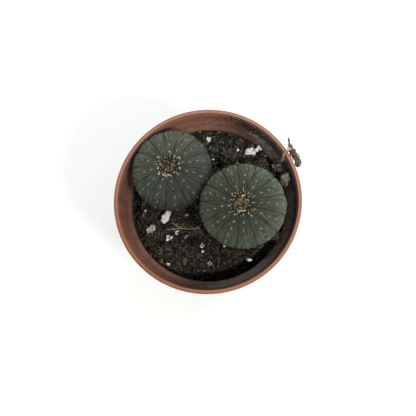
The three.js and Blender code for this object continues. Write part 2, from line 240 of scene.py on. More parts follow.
def turned(bm, outline, steps):
    """Turns an outline of (radius, height) pairs about the vertical axis."""
    verts = [bm.verts.new((radius, 0, height)) for radius, height in outline]
    edges = [bm.edges.new(pair) for pair in zip(verts, verts[1:])]
    bmesh.ops.spin(
        bm,
        geom=verts + edges,
        cent=(0, 0, 0),
        axis=(0, 0, 1),
        dvec=(0, 0, 0),
        angle=2 * math.pi,
        steps=steps,
        use_merge=True,
        use_duplicate=False,
    )
    bmesh.ops.remove_doubles(bm, verts=bm.verts, dist=1e-4)


def add_strand(bm, points, radii, sides):
    """Adds a closed round strand through the points, as thick at each point as its radius."""
    points = [Vector(point) for point in points]
    last = len(points) - 1
    ways = [(points[min(i + 1, last)] - points[max(i - 1, 0)]).normalized() for i in range(last + 1)]
    turn = UP.rotation_difference(ways[0])
    place = Matrix.LocRotScale(points[0], turn, Vector((radii[0],) * 3))
    ring = bmesh.ops.create_circle(bm, cap_ends=True, segments=sides, radius=1.0, matrix=place)
    face = ring["verts"][0].link_faces[0]
    for i in range(1, last + 1):
        turn = ways[i - 1].rotation_difference(ways[i]) @ turn
        following = Matrix.LocRotScale(points[i], turn, Vector((radii[i],) * 3))
        grown = bmesh.ops.extrude_face_region(bm, geom=[face])["geom"]
        verts = [item for item in grown if isinstance(item, bmesh.types.BMVert)]
        face = [item for item in grown if isinstance(item, bmesh.types.BMFace)][0]
        bmesh.ops.transform(bm, matrix=following @ place.inverted(), verts=verts)
        place = following


def add_lump(bm, seed, cuts, lobes, lobe_depth, grain):
    """Adds an uneven ball of about unit radius, with lobes and a grain on them."""
    ball = bmesh.ops.create_icosphere(bm, subdivisions=cuts, radius=1.0)["verts"]
    shift = Vector((seed * 7.31, seed * 3.17, seed * 5.73))
    for vert in ball:
        way = vert.co.normalized()
        near = noise.voronoi(way * lobes + shift)[0][0]
        swell = math.sqrt(1 - min(1.0, near / 0.85) ** 2)
        reach = 1 - lobe_depth * (1 - swell)
        reach += grain * noise.fractal(way * 4 + shift, 0.9, 2.0, 4)
        vert.co = way * reach
    return ball


def break_flats(verts, seed, count, reach):
    """Breaks flat faces on an unscaled lump, at the reach from its middle."""
    rng = random.Random(seed)
    for _ in range(count):
        way = any_way(rng, 0.3)
        for vert in verts:
            vert.co -= way * max(0.0, vert.co.dot(way) - reach)


def fit_box(verts, low, high):
    """Moves and sizes the vertices so that they fill the box."""
    lowest = Vector([min(vert.co[axis] for vert in verts) for axis in range(3)])
    highest = Vector([max(vert.co[axis] for vert in verts) for axis in range(3)])
    for vert in verts:
        for axis in range(3):
            share = (vert.co[axis] - lowest[axis]) / (highest[axis] - lowest[axis])
            vert.co[axis] = mix(low[axis], high[axis], share)


def node_box(node):
    """The lowest and highest corner of a CAD node, in millimetres."""
    low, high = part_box(node)
    return low / MM, high / MM


class Stamp:
    """A small shape that is repeated many times."""

    def __init__(self, bm):
        bmesh.ops.recalc_face_normals(bm, faces=bm.faces)
        self.mesh = bpy.data.meshes.new("stamp")
        bm.to_mesh(self.mesh)
        bm.free()
        self.shape = [vert.co.copy() for vert in self.mesh.vertices]


class Heap:
    """Many stamped copies in one mesh. Each copy has a tint from 0 to 1 for its material."""

    def __init__(self):
        self.bm = bmesh.new()
        self.tints = []

    def add(self, stamp, place, tint):
        for vert, point in zip(stamp.mesh.vertices, stamp.shape):
            vert.co = place @ point
        self.bm.from_mesh(stamp.mesh)
        self.tints += [tint] * len(stamp.shape)

    def add_shape(self, bm, tint):
        """Adds a shape that is made only once."""
        own = Stamp(bm)
        self.bm.from_mesh(own.mesh)
        self.tints += [tint] * len(own.shape)

    def finish(self, name, finish, slot, replaced=()):
        return finish_piece(name, self.bm, finish, slot, replaced, {"tint": self.tints}, False)


def finish_piece(name, bm, finish, slot, replaced=(), marks=None, turn_out=True):
    """Makes the piece from its shape, in metres, and lets it ride with the pot."""
    if turn_out:
        bmesh.ops.recalc_face_normals(bm, faces=bm.faces)
    mesh = bpy.data.meshes.new(name)
    bm.to_mesh(mesh)
    bm.free()
    mesh.transform(Matrix.Scale(MM, 4))
    for polygon in mesh.polygons:
        polygon.use_smooth = True
    for mark, values in (marks or {}).items():
        mesh.attributes.new(mark, "FLOAT", "POINT").data.foreach_set("value", values)
    mesh.materials.append(finish)
    piece = bpy.data.objects.new(name, mesh)
    bpy.context.scene.collection.objects.link(piece)
    if replaced:
        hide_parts(*replaced)
    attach(piece, "root")
    return piece


class Surface:
    """Finds the places on a finished piece where small things lie."""

    def __init__(self, name):
        mesh = bpy.data.objects[name].data
        points = [vert.co / MM for vert in mesh.vertices]
        faces = [list(polygon.vertices) for polygon in mesh.polygons]
        self.tree = BVHTree.FromPolygons(points, faces)

    def below(self, x, y, height=48.0):
        """The point and normal straight below a point."""
        found, normal, _, _ = self.tree.ray_cast(Vector((x, y, height)), -UP)
        return found, normal

    def nearest(self, point):
        found, normal, _, _ = self.tree.find_nearest(point)
        return found, normal


def lie(point, normal, yaw, size, sink=0.0, tilt=0.0):
    """The place of a stamp that lies on a surface, turned about the normal and sunk into it."""
    turn = UP.rotation_difference(normal) @ Euler((tilt, 0, yaw)).to_quaternion()
    return Matrix.LocRotScale(point - normal * sink, turn, Vector(size))


# Materials


class Wire:
    """A node's output that takes part in sums."""

    def __init__(self, sheet, socket):
        self.sheet = sheet
        self.socket = socket

    def __add__(self, other):
        return self.sheet.maths("ADD", self, other)

    def __radd__(self, other):
        return self.sheet.maths("ADD", other, self)

    def __sub__(self, other):
        return self.sheet.maths("SUBTRACT", self, other)

    def __rsub__(self, other):
        return self.sheet.maths("SUBTRACT", other, self)

    def __mul__(self, other):
        return self.sheet.maths("MULTIPLY", self, other)

    def __rmul__(self, other):
        return self.sheet.maths("MULTIPLY", other, self)

    def __truediv__(self, other):
        return self.sheet.maths("DIVIDE", self, other)


class Finish:
    """A material's node sheet around one Principled shader."""

    def __init__(self, name, **constants):
        self.material = bpy.data.materials.new(name)
        self.material.use_nodes = True
        self.tree = self.material.node_tree
        self.tree.nodes.clear()
        self.shader = self.tree.nodes.new("ShaderNodeBsdfPrincipled")
        output = self.tree.nodes.new("ShaderNodeOutputMaterial")
        self.tree.links.new(self.shader.outputs[0], output.inputs["Surface"])
        for key, value in constants.items():
            self.shader.inputs[key.replace("_", " ")].default_value = value

    def feed(self, socket, value):
        if isinstance(value, Wire):
            self.tree.links.new(value.socket, socket)
        elif socket.type == "RGBA":
            socket.default_value = (*value, 1.0)
        else:
            socket.default_value = value

    def node(self, kind, settings=None, inputs=None, output=0):
        """Adds any node: first its settings, then the values or links of its sockets."""
        node = self.tree.nodes.new(kind)
        for key, value in (settings or {}).items():
            if key == "stops":
                for _ in range(len(value) - 2):
                    node.color_ramp.elements.new(0.5)
                for element, (position, colour) in zip(node.color_ramp.elements, value):
                    element.position = position
                    element.color = (*colour, 1.0)
            else:
                setattr(node, key, value)
        for key, value in (inputs or {}).items():
            self.feed(node.inputs[key], value)
        return Wire(self, node.outputs[output])

    def maths(self, operation, a, b=0.0):
        return self.node("ShaderNodeMath", {"operation": operation}, {0: a, 1: b})

    def vectors(self, operation, a, b=(0, 0, 0), output=0):
        return self.node("ShaderNodeVectorMath", {"operation": operation}, {0: a, 1: b}, output)

    def between(self, value, low, high):
        """0 where the value is below low, 1 where it is above high, and smooth between."""
        settings = {"interpolation_type": "SMOOTHSTEP"}
        return self.node("ShaderNodeMapRange", settings, {0: value, 1: low, 2: high})

    def coat(self, mask, under, over):
        """The colour over where the mask is 1, and the colour under where it is 0."""
        settings = {"data_type": "RGBA", "clamp_factor": True}
        return self.node("ShaderNodeMix", settings, {0: mask, 6: under, 7: over}, 2)

    def shade(self, colour, amount):
        """Multiplies a colour by a number that changes over the surface."""
        level = self.node("ShaderNodeCombineXYZ", None, {0: amount, 1: amount, 2: amount})
        return self.vectors("MULTIPLY", colour, level)

    def ramp(self, value, stops):
        return self.node("ShaderNodeValToRGB", {"stops": stops}, {0: value})

    def place(self, centre=(0, 0, 0), turn=(0, 0, 0), stretch=(1, 1, 1)):
        """Millimetres on the piece, from a centre, turned and stretched."""
        here = self.node("ShaderNodeTexCoord", None, None, 3)
        inputs = {
            "Vector": here,
            "Location": tuple(-c * s for c, s in zip(centre, stretch)),
            "Rotation": turn,
            "Scale": tuple(s / MM for s in stretch),
        }
        return self.node("ShaderNodeMapping", {"vector_type": "POINT"}, inputs)

    def cloud(self, where, scale, detail=3.0, roughness=0.55, distortion=0.0):
        inputs = {
            "Vector": where,
            "Scale": scale,
            "Detail": detail,
            "Roughness": roughness,
            "Distortion": distortion,
        }
        return self.node("ShaderNodeTexNoise", None, inputs)

    def cells(self, where, scale, feature="F1"):
        inputs = {"Vector": where, "Scale": scale}
        return self.node("ShaderNodeTexVoronoi", {"feature": feature}, inputs)

    def mark(self, name):
        """A value that the piece's own mesh carries."""
        return self.node("ShaderNodeAttribute", {"attribute_name": name}, None, 2)

    def axis(self, vector, index):
        return self.node("ShaderNodeSeparateXYZ", None, {0: vector}, index)

    def bump(self, height, distance):
        """Feeds a height in parts of the distance, which is in millimetres, to the shader's normal."""
        inputs = {"Height": height, "Distance": distance * MM, "Strength": 1.0}
        normal = self.node("ShaderNodeBump", None, inputs)
        self.feed(self.shader.inputs["Normal"], normal)

    def wear(self, colour, roughness=None):
        self.feed(self.shader.inputs["Base Color"], colour)
        if roughness is not None:
            self.feed(self.shader.inputs["Roughness"], roughness)
        return self.material


def clay_finish(settings):
    """Satin clay-coloured plastic, with dried peat and painted shade where the mesh is marked, and a
    painted highlight on the lip's inner edge.
    """
    sheet = Finish("moulded_clay_plastic", Specular_IOR_Level=0.22)
    where = sheet.place()
    broad = sheet.cloud(where, 0.09, 2.0)
    fine = sheet.cloud(where, 2.6, 4.0)
    streak = sheet.cloud(sheet.place(stretch=(1.0, 1.0, 0.08)), 1.1, 3.0)
    faded = sheet.between(broad + sheet.axis(where, 1) * 0.01, 0.35, 0.65)
    body = sheet.coat(faded, settings.clay, settings.clay_faded)
    body = sheet.shade(body, 0.88 + 0.14 * fine + 0.1 * streak)
    # Painted highlight on the lip's inner edge
    body = sheet.coat(sheet.mark("rubbed") * sheet.between(fine, 0.2, 0.6), body, settings.rubbed)
    patches = sheet.cloud(where, 0.42, 5.0, 0.68, 0.4) - 0.5
    crust = sheet.cloud(where, 2.2, 4.0, 0.7) - 0.5
    # Dried peat, with painted shade in the ledge's corner and on the outside, away from the light
    film = sheet.between(sheet.mark("film") + patches * 0.7 + crust * 0.25, 0.1, 1.0)
    body = sheet.coat(film * 0.85, body, settings.dust)
    # Crusted peat, and the painted shadow of the left plant in the same dark colour
    caked = sheet.between(sheet.mark("caked") + patches + crust * 0.8, 0.6, 0.8)
    dirt_and_shadow = sheet.coat(fine * 0.55 + crust * 0.5 + sheet.mark("dry"), settings.dirt_and_shadow, settings.dirt_pale)
    body = sheet.coat(caked * 0.94, body, dirt_and_shadow)
    specks = 1 - sheet.between(sheet.cells(where, 1.5), 0.1, 0.2)
    body = sheet.coat(specks * film, body, settings.dirt_and_shadow)
    sheet.bump(fine * 0.15 + caked * (crust + 0.5) * 1.2, 0.12)
    return sheet.wear(body, 0.5 + 0.12 * fine + 0.35 * film)


def peat_finish(settings):
    """Dark damp peat of many fine grains."""
    sheet = Finish("damp_peat", Specular_IOR_Level=0.2)
    where = sheet.place()
    clumps = sheet.cloud(where, 0.55, 4.0, 0.6)
    grains = sheet.cells(where, 2.4)
    dust = sheet.cloud(where, 5.0, 5.0, 0.75)
    body = sheet.coat(sheet.between(clumps, 0.35, 0.7), settings.peat, settings.peat_dry)
    body = sheet.shade(body, 0.3 + 0.55 * grains + 0.4 * dust)
    pale = sheet.between(sheet.cloud(where, 3.4, 2.0, 0.5), 0.68, 0.76)
    body = sheet.coat(pale * 0.6, body, settings.fibre)
    sheet.bump(grains * 0.6 + dust * 0.7, 0.25)
    return sheet.wear(body, 0.85 + 0.1 * dust)


def tinted_finish(name, tones, roughness, grain, contrast, specular=0.25):
    """A finish for many small copies, coloured along a ramp of tones by each copy's tint."""
    sheet = Finish(name, Specular_IOR_Level=specular)
    where = sheet.place()
    speckle = sheet.cloud(where, grain, 3.0, 0.65)
    stops = [(position, paint(*colour)) for position, *colour in tones]
    body = sheet.shade(sheet.ramp(sheet.mark("tint"), stops), 1 - contrast / 2 + contrast * speckle)
    # Peat is greener towards the back of the pot, and painted lighter there, as more light falls on it
    if name.startswith("peat"):
        mossy = sheet.between(sheet.cloud(where, 0.17, 2.0) + sheet.axis(where, 1) * 0.012, 0.4, 0.6)
        cast = sheet.coat(mossy, (1.06, 0.98, 0.9), (0.95, 1.0, 0.95))
        body = sheet.vectors("MULTIPLY", body, cast)
        body = sheet.shade(body, 1.1 + sheet.axis(where, 1) * 0.018)
    sheet.bump(speckle, 0.08)
    return sheet.wear(body, roughness)


def skin_finish(settings, plant, name):
    """Grey-green cactus skin: radial striations, pale pores, dark grooves with painted shade and a
    painted highlight beside them, painted light towards one side and the rim, and a browner crown.
    """
    sheet = Finish(name, Specular_IOR_Level=0.3)
    where = sheet.place(plant["centre"])
    flat = sheet.vectors("MULTIPLY", where, (1, 1, 0))
    reach = sheet.vectors("LENGTH", flat, output=1)
    around = sheet.vectors("NORMALIZE", flat)
    along = sheet.node("ShaderNodeCombineXYZ", None, {2: reach * 0.02})
    spoke = sheet.vectors("ADD", around, along)
    striation = sheet.cloud(spoke, 17.0, 5.0, 0.7)
    hairline = sheet.between(sheet.cloud(spoke, 24.0, 3.0, 0.6), 0.57, 0.64)
    dark_line = sheet.between(sheet.cloud(spoke, 18.0, 3.0, 0.6, 0.3), 0.57, 0.66)
    mottle = sheet.cloud(where, 1.3, 4.0, 0.65)
    pores = 1 - sheet.between(sheet.cells(where, 4.2), 0.12, 0.3)
    # Painted light: the skin lightens out to the rim, gets a painted rim light there, and is painted
    # lighter towards one side, as light falls; both are partly a paler waxy coat
    middle, gain, rim = plant["tone"]
    towards, slant = plant["painted_lit_side"]
    share = reach / plant["radius"]
    slope = tuple(polar(slant / plant["radius"], towards))
    side = sheet.vectors("DOT_PRODUCT", flat, slope, 1)
    tone = middle + gain * share + rim * sheet.between(share, 0.72, 0.95) + side
    body = sheet.coat(sheet.cloud(where, 0.16, 3.0), settings.skin, settings.skin_pale)
    body = sheet.vectors("MULTIPLY", body, plant["cast"])
    body = sheet.shade(body, tone * (3.6 * striation + 0.9 * mottle - 1.23))
    body = sheet.coat(pores * 0.2 + hairline * (0.72 * tone), body, settings.bloom_and_highlight)
    body = sheet.coat(dark_line * 0.6, body, settings.dark_skin_and_groove_shade)
    # Painted shade: the skin darkens in the grooves, where shade falls
    groove = sheet.mark("groove") * sheet.between(mottle, 0.34, 0.6)
    body = sheet.coat(groove * 0.62, body, settings.dark_skin_and_groove_shade)
    # Painted highlight along one edge of each groove, in the pale waxy colour
    ridge = sheet.mark("ridge") * sheet.between(striation, 0.4, 0.62)
    body = sheet.coat(ridge * 0.5, body, settings.bloom_and_highlight)
    crown = 1 - sheet.between(reach + (mottle - 0.5) * 2.0, 2.0, 3.6)
    body = sheet.coat(crown * 0.9, body, settings.crown_skin)
    corky = sheet.between(sheet.mark("corky") + (mottle - 0.5) * 0.7, 0.55, 0.95)
    body = sheet.coat(corky * 0.75, body, settings.cork)
    sheet.bump(striation * 1.3 + pores * 0.35 + mottle * 0.35, 0.2)
    return sheet.wear(body, 0.55 + 0.2 * mottle)


def glass_rock_finish(settings):
    """White expanded volcanic glass with soil in its pits."""
    sheet = Finish("perlite", Specular_IOR_Level=0.3)
    sheet.shader.inputs["Subsurface Weight"].default_value = 0.12
    sheet.shader.inputs["Subsurface Radius"].default_value = (0.0008, 0.0007, 0.0006)
    where = sheet.place()
    froth = sheet.cells(where, 3.4, "SMOOTH_F1")
    cloudy = sheet.cloud(where, 1.4, 4.0, 0.65)
    stain = sheet.between(sheet.mark("stain") + (cloudy - 0.5) * 1.6, 0.1, 0.9)
    body = sheet.coat(stain, settings.perlite, settings.perlite_stained)
    pits = 1 - sheet.between(froth, 0.08, 0.3)
    body = sheet.coat(pits * 0.35, body, settings.perlite_pit)
    body = sheet.coat(sheet.mark("pit"), body, settings.perlite_pit)
    sheet.bump(froth + cloudy * 0.3, 0.16)
    return sheet.wear(body, 0.7 + 0.2 * cloudy)


def stone_finish(settings):
    """Brownish translucent quartz with dark veins, white streaks and clinging soil."""
    sheet = Finish("quartz_grit", Specular_IOR_Level=0.5)
    sheet.shader.inputs["Subsurface Weight"].default_value = 0.25
    sheet.shader.inputs["Subsurface Radius"].default_value = (0.002, 0.0014, 0.001)
    where = sheet.place()
    cloudy = sheet.cloud(where, 0.8, 4.0, 0.6, 0.6)
    fine = sheet.cloud(where, 3.6, 4.0, 0.7)
    body = sheet.coat(sheet.between(cloudy, 0.35, 0.7), settings.stone, settings.stone_pale)
    body = sheet.shade(body, 0.3 + 1.5 * fine)
    veins = 1 - sheet.between(sheet.cells(where, 0.75, "DISTANCE_TO_EDGE"), 0.02, 0.14)
    body = sheet.coat(veins * 0.7, body, settings.peat_on_stone)
    soil = sheet.between(sheet.cloud(where, 1.9, 5.0, 0.7), 0.54, 0.62)
    body = sheet.coat(soil * 0.7, body, settings.peat_on_stone)
    tilted = sheet.place(turn=(0, 0, 0.6), stretch=(1.0, 0.3, 1.0))
    streaks = sheet.between(sheet.cloud(tilted, 2.6, 4.0, 0.65), 0.53, 0.6)
    body = sheet.coat(streaks * 0.62, body, settings.stone_fleck)
    sheet.bump(cloudy * 0.6 + soil * 0.6 - veins * 0.5, 0.16)
    return sheet.wear(body, 0.3 + 0.4 * soil)


def wood_finish(name, dark, pale, grain):
    """Dry plant matter with grain along its length."""
    sheet = Finish(name, Specular_IOR_Level=0.25)
    where = sheet.place()
    streaks = sheet.cloud(where, grain, 4.0, 0.7, 1.2)
    patches = sheet.cloud(where, 0.9, 3.0)
    body = sheet.coat(sheet.between(streaks, 0.35, 0.65), dark, pale)
    body = sheet.shade(body, 0.7 + 0.6 * patches)
    sheet.bump(streaks, 0.15)
    return sheet.wear(body, 0.8 + 0.15 * patches)


def floor_finish(settings):
    """White paper, lit until it is nearly blank."""
    sheet = Finish("white_paper", Specular_IOR_Level=0.0, Roughness=1.0)
    fibres = sheet.cloud(sheet.place(), 0.35, 3.0)
    colour = sheet.shade(settings.floor_colour, 0.985 + 0.03 * fibres)
    sheet.feed(sheet.shader.inputs["Emission Color"], colour)
    sheet.shader.inputs["Emission Strength"].default_value = settings.floor_glow
    return sheet.wear(colour)


# Settings


def size_setting(name, description, millimetres):
    return bpy.props.FloatProperty(
        name=name,
        description=description,
        default=millimetres * MM,
        min=0.0,
        precision=5,
        unit="LENGTH",
    )


def colour_setting(name, description, screen_colour):
    return bpy.props.FloatVectorProperty(
        name=name,
        description=description,
        default=paint(*screen_colour),
        min=0.0,
        max=1.0,
        size=3,
        subtype="COLOR",
    )


def count_setting(name, description, default):
    return bpy.props.IntProperty(name=name, description=description, default=default, min=0)


def level_setting(name, description, default):
    return bpy.props.FloatProperty(name=name, description=description, default=default, min=0.0)


class PotSettings(bpy.types.PropertyGroup):
    drain_circle: size_setting("Drain circle", "Radius of the circle of drain holes", 13.2)
    drain_radius: size_setting("Drain radius", "Radius of one drain hole", 2.2)
    drain_count: count_setting("Drain holes", "Number of drain holes", 7)
    sides: count_setting("Sides", "Steps in one turn of the pot", 192)
    clay: colour_setting("Clay", "Main colour of the plastic", (146, 91, 66))
    clay_faded: colour_setting("Faded clay", "Colour where the plastic has faded", (149, 103, 86))
    # Colour of the highlight painted on the lip's inner edge
    rubbed: colour_setting("Highlighted clay", "Colour of the rubbed inner edge of the lip", (178, 130, 110))
    # Colour of the dried peat, also used for painted shade
    dust: colour_setting("Dust", "Thin dried film inside the collar", (51, 45, 40))
    # Colour of the crusted peat, also used for the painted shadow of the left plant
    dirt_and_shadow: colour_setting("Dirt", "Caked peat inside the collar", (46, 46, 45))
    dirt_pale: colour_setting("Dry dirt", "Caked peat that has dried", (130, 116, 106))


class SoilSettings(bpy.types.PropertyGroup):
    top: size_setting("Soil top", "Height of the soil", 43.2)
    depth: size_setting("Gap depth", "How deep the gap to the wall goes", 11.0)
    relief: size_setting("Relief", "Height of the soil's waves", 0.55)
    crumbs: count_setting("Crumbs", "Number of soil crumbs", 5200)
    clods: count_setting("Clods", "Number of small clods", 420)
    fibres: count_setting("Fibres", "Number of peat fibres", 3000)
    curls: count_setting("Curls", "Number of pale curled fibres", 620)
    specks: count_setting("Specks", "Number of pale specks", 620)
    wall_crumbs: count_setting("Wall crumbs", "Number of crumbs on the collar", 1300)
    spilled: count_setting("Spilled crumbs", "Number of crumbs in the gap to the wall", 1500)
    peat: colour_setting("Peat", "Damp peat", (33, 31, 26))
    peat_dry: colour_setting("Dry peat", "Dry peat", (54, 50, 42))
    fibre: colour_setting("Fibre", "Pale fibre in the peat", (100, 90, 72))


class CactusSettings(bpy.types.PropertyGroup):
    groove_depth: size_setting("Groove depth", "Depth of the grooves at the rim", 0.42)
    areole_gap: size_setting("Areole gap", "Distance from one areole to the next", 2.2)
    spine_length: size_setting("Spine length", "Length of the longest spines", 0.72)
    crown_curls: count_setting("Crown curls", "Number of curls of wool in each crown", 230)
    skin: colour_setting("Skin", "Main colour of the skin", (54, 61, 50))
    skin_pale: colour_setting("Pale skin", "Lighter patches of the skin", (63, 69, 57))
    # Dark skin of the striations, also used for the shade painted in the grooves
    dark_skin_and_groove_shade: colour_setting("Dark skin", "Skin inside the grooves", (27, 32, 27))
    # Pale waxy colour of the skin, also used for the highlight painted beside the grooves
    bloom_and_highlight: colour_setting("Bloom", "Pale waxy bloom of the skin", (96, 101, 90))
    crown_skin: colour_setting("Crown skin", "Young skin in the middle", (22, 23, 16))
    cork: colour_setting("Cork", "Old skin near the soil", (82, 68, 50))


class LumpSettings(bpy.types.PropertyGroup):
    perlite: colour_setting("Perlite", "Clean perlite", (232, 228, 224))
    perlite_stained: colour_setting("Stained perlite", "Perlite with soil on it", (134, 118, 108))
    perlite_pit: colour_setting("Pit", "Soil in the pits", (58, 51, 45))
    stone: colour_setting("Quartz", "Brown quartz", (100, 88, 72))
    stone_pale: colour_setting("Pale quartz", "Lighter quartz", (134, 120, 100))
    stone_fleck: colour_setting("Fleck", "White streaks in the quartz", (210, 205, 198))
    peat_on_stone: colour_setting("Soil on stone", "Soil that clings to the quartz", (40, 34, 29))


class StageSettings(bpy.types.PropertyGroup):
    floor_colour: colour_setting("Floor", "Colour of the floor", (233, 234, 231))
    floor_glow: level_setting("Floor glow", "Light that the floor adds", 0.3)
    key_level: level_setting("Key light", "Strength of the main light in watts", 1.8)
    key_size: size_setting("Key size", "Width of the main light", 120.0)
    soft_level: level_setting("Soft light", "Strength of the broad light in watts", 1.6)
    soft_size: size_setting("Soft size", "Width of the broad light", 400.0)
    fill_level: level_setting("Fill light", "Strength of the light from all round", 0.72)


# Pieces


def shrink_gap(degrees):
    """Gap between the root ball and the wall at an angle."""
    place = (degrees % 360) / 30
    before = int(place) % len(SHRINK_GAPS)
    after = (before + 1) % len(SHRINK_GAPS)
    return mix(SHRINK_GAPS[before], SHRINK_GAPS[after], smooth(place - int(place), 0, 1))


def soil_edge(degrees):
    """Radius of the soil's top edge at an angle."""
    ragged = 0.35 * noise.noise(polar(3.2, degrees, 4.0)) + 0.2 * noise.noise(polar(9.0, degrees))
    return SOIL_RADIUS - shrink_gap(degrees) + min(0.1, ragged)


def facing(degrees, towards, width):
    """1 towards an angle, falling off evenly to both sides of it."""
    apart = (degrees - towards + 180) % 360 - 180
    return math.exp(-((apart / width) ** 2))


def lip_highlight(x, y, z):
    """How strongly a highlight is painted on the lip's inner edge at a point, most at the back and on
    the right.
    """
    radius = math.hypot(x, y)
    inner = smooth(z, 49.6, 49.8) * (1 - smooth(radius, 26.65, 26.95))
    return inner * (0.3 + 0.7 * facing(math.degrees(math.atan2(y, x)), 50, 75))


def collar_grime_and_shade(x, y, z):
    """How much dried peat and painted shade lie on the pot at a point, how much crusted peat and
    painted shadow, and how dry it is.
    """
    radius = math.hypot(x, y)
    degrees = math.degrees(math.atan2(y, x))
    if z > LIP_FOOT or radius > LIP_RADIUS:
        # Outside and on the lip: painted shade on the side towards 235 degrees, away from the light
        return 0.34 * facing(degrees, 235, 60) * smooth(z, 42.0, 49.0), 0.0, 0.0
    low = 1 - smooth(z, 42.0, 43.3)
    ring = math.exp(-(((z - DIRT_RING) / 0.22) ** 2)) * (0.45 + 0.55 * facing(degrees, -20, 75))
    # Painted shade in the corner where the collar meets the ledge
    corner = math.exp(-(((radius - LEDGE_CORNER) / 0.5) ** 2)) if z < 45 else 0.0
    ledge = 1 - smooth(z, 43.6, 44.6)
    upper_right = facing(degrees, 50, 26)
    right = max(facing(degrees, -8, 48), facing(degrees, -62, 38) * (0.6 + 0.4 * ledge))
    lower_left = facing(degrees, 222, 26)
    # Painted shadow that the left plant casts on the wall behind it, wider towards the ledge, mixed
    # with crusted peat
    behind = facing(degrees, 147, 13 + 9 * (1 - smooth(z, 43.6, 48.5)))
    front = facing(degrees, -72, 45)
    film = 0.46 + 0.5 * right + 0.42 * upper_right + 0.12 * facing(degrees, 180, 30)
    film += 0.2 * corner + 0.1 * ledge
    # Darker towards the front wall and lighter near the back, at 98 degrees
    film += 0.5 * front * (1 - 0.5 * ledge) - 0.4 * facing(degrees, 98, 26) * (1 - 0.6 * ledge)
    caked = 0.66 * right + 0.52 * upper_right + 0.62 * ring + 0.22 * corner + 0.85 * behind
    caked += 0.28 * facing(degrees, 98, 9) + 0.06 * lower_left + 0.26 * front
    dry = upper_right * (1 - 0.8 * ledge) + 0.2 * right
    return min(1.0, max(film, low)), min(1.0, max(caked, low)), dry


class CACTUS_OT_pot(bpy.types.Operator):
    """Turn the pot, pierce its floor, and mark where it is dirty, where shade and shadow are painted,
    and where the lip's highlight is painted
    """

    bl_idname = "cactus.pot"
    bl_label = "Pot"

    def execute(self, context):
        settings = context.scene.cactus_pot
        bm = bmesh.new()
        outline = POT_OUTSIDE + LIP + POT_INSIDE
        turned(bm, outline, settings.sides)
        open_edges = [edge for edge in bm.edges if edge.is_boundary]
        circle = settings.drain_circle / MM
        radius = settings.drain_radius / MM
        hole_sides = 28
        for height in (outline[0][1], outline[-1][1]):
            rim = [edge for edge in open_edges if abs(edge.verts[0].co.z - height) < 0.05]
            for i in range(settings.drain_count):
                place = Matrix.Translation(polar(circle, 360 * i / settings.drain_count, height))
                hole = bmesh.ops.create_circle(bm, segments=hole_sides, radius=radius, matrix=place)
                rim += dict.fromkeys(edge for vert in hole["verts"] for edge in vert.link_edges)
            bmesh.ops.triangle_fill(bm, use_beauty=True, use_dissolve=False, edges=rim)
        walls = [edge for edge in bm.edges if edge.is_boundary]
        bmesh.ops.bridge_loops(bm, edges=walls)
        # Marks of dried peat with painted shade and shadow, and of the highlight painted on the lip
        grime_and_shade = [collar_grime_and_shade(*vert.co) for vert in bm.verts]
        marks = dict(zip(("film", "caked", "dry"), zip(*grime_and_shade)))
        marks["rubbed"] = [lip_highlight(*vert.co) for vert in bm.verts]
        finish = clay_finish(settings)
        piece = finish_piece("pot_shell", bm, finish, "clay_plastic", ["pot"], marks)
        piece.data.set_sharp_from_angle(angle=math.radians(40))
        return {"FINISHED"}


def soil_relief(x, y, relief):
    """Height of the soil's top above or below its level: clods, cracks between them, and holes."""
    spot = Vector((x, y, 0))
    wave = noise.noise(spot * 0.28 + Vector((3, 7, 1))) + 0.5 * noise.noise(spot * 0.8)
    clods = noise.voronoi(spot * 0.62 + Vector((1, 5, 2)))[0]
    cracks = 1 - smooth(clods[1] - clods[0], 0.0, 0.3)
    rise = relief * (wave + 0.7 * noise.fractal(spot * 1.9, 0.8, 2.0, 4) - 0.8 * cracks)
    for hole_x, hole_y, radius, depth in SOIL_HOLES:
        apart = math.hypot(x - hole_x, y - hole_y) / radius + 0.35 * noise.noise(spot * 1.3)
        rise -= depth * (1 - smooth(apart, 0.2, 1.0))
    return rise


class CACTUS_OT_soil(bpy.types.Operator):
    """Shape the root ball, shrunk away from the wall, with an uneven top"""

    bl_idname = "cactus.soil"
    bl_label = "Soil"

    def execute(self, context):
        settings = context.scene.cactus_soil
        top = settings.top / MM
        depth = settings.depth / MM
        bottom = 1.3
        foot = 2.5
        lower = 29.7
        outline = [(0, bottom), (16.8, bottom), (SOIL_FOOT, foot)]
        for i in range(8):
            height = mix(foot, top - depth, (i + 1) / 8)
            outline.append((mix(SOIL_FOOT, SOIL_WAIST, (height - foot) / lower), height))
        for i in range(14):
            height = mix(top - depth, top - 1.0, (i + 1) / 14)
            share = (height - top + depth) / (depth - 1)
            outline.append((mix(SOIL_WAIST, SOIL_RADIUS, share), height))
        outline += [(22.7, top - 0.6), (22.55, top - 0.25), (22.3, top - 0.05)]
        rings = 84
        outline += [(22.0 * (1 - i / rings), top) for i in range(rings + 1)]
        sides = 256
        bm = bmesh.new()
        turned(bm, outline, sides)
        for vert in bm.verts:
            x, y, z = vert.co
            radius = math.hypot(x, y)
            if radius < 1e-6 and z < top - 1:
                continue
            degrees = math.degrees(math.atan2(y, x))
            risen = smooth(z, top - depth - 1, top - 1)
            inset = (SOIL_RADIUS - soil_edge(degrees)) * risen * smooth(radius, 6, 22)
            surface = smooth(z, top - 1.2, top - 0.2)
            crumble = 0.8 * noise.noise(Vector((x, y, z)) * 0.7)
            crumble += 0.4 * noise.noise(Vector((x, y, z)) * 1.9)
            crumble *= risen * (1 - surface)
            scale = 1 - (inset - min(0.1, crumble)) / radius if radius > 1e-6 else 1
            rise = soil_relief(x, y, settings.relief / MM)
            vert.co = (x * scale, y * scale, z + rise * surface)
        finish_piece("soil_bed", bm, peat_finish(settings), "peat", ["soil"])
        return {"FINISHED"}


# Plants


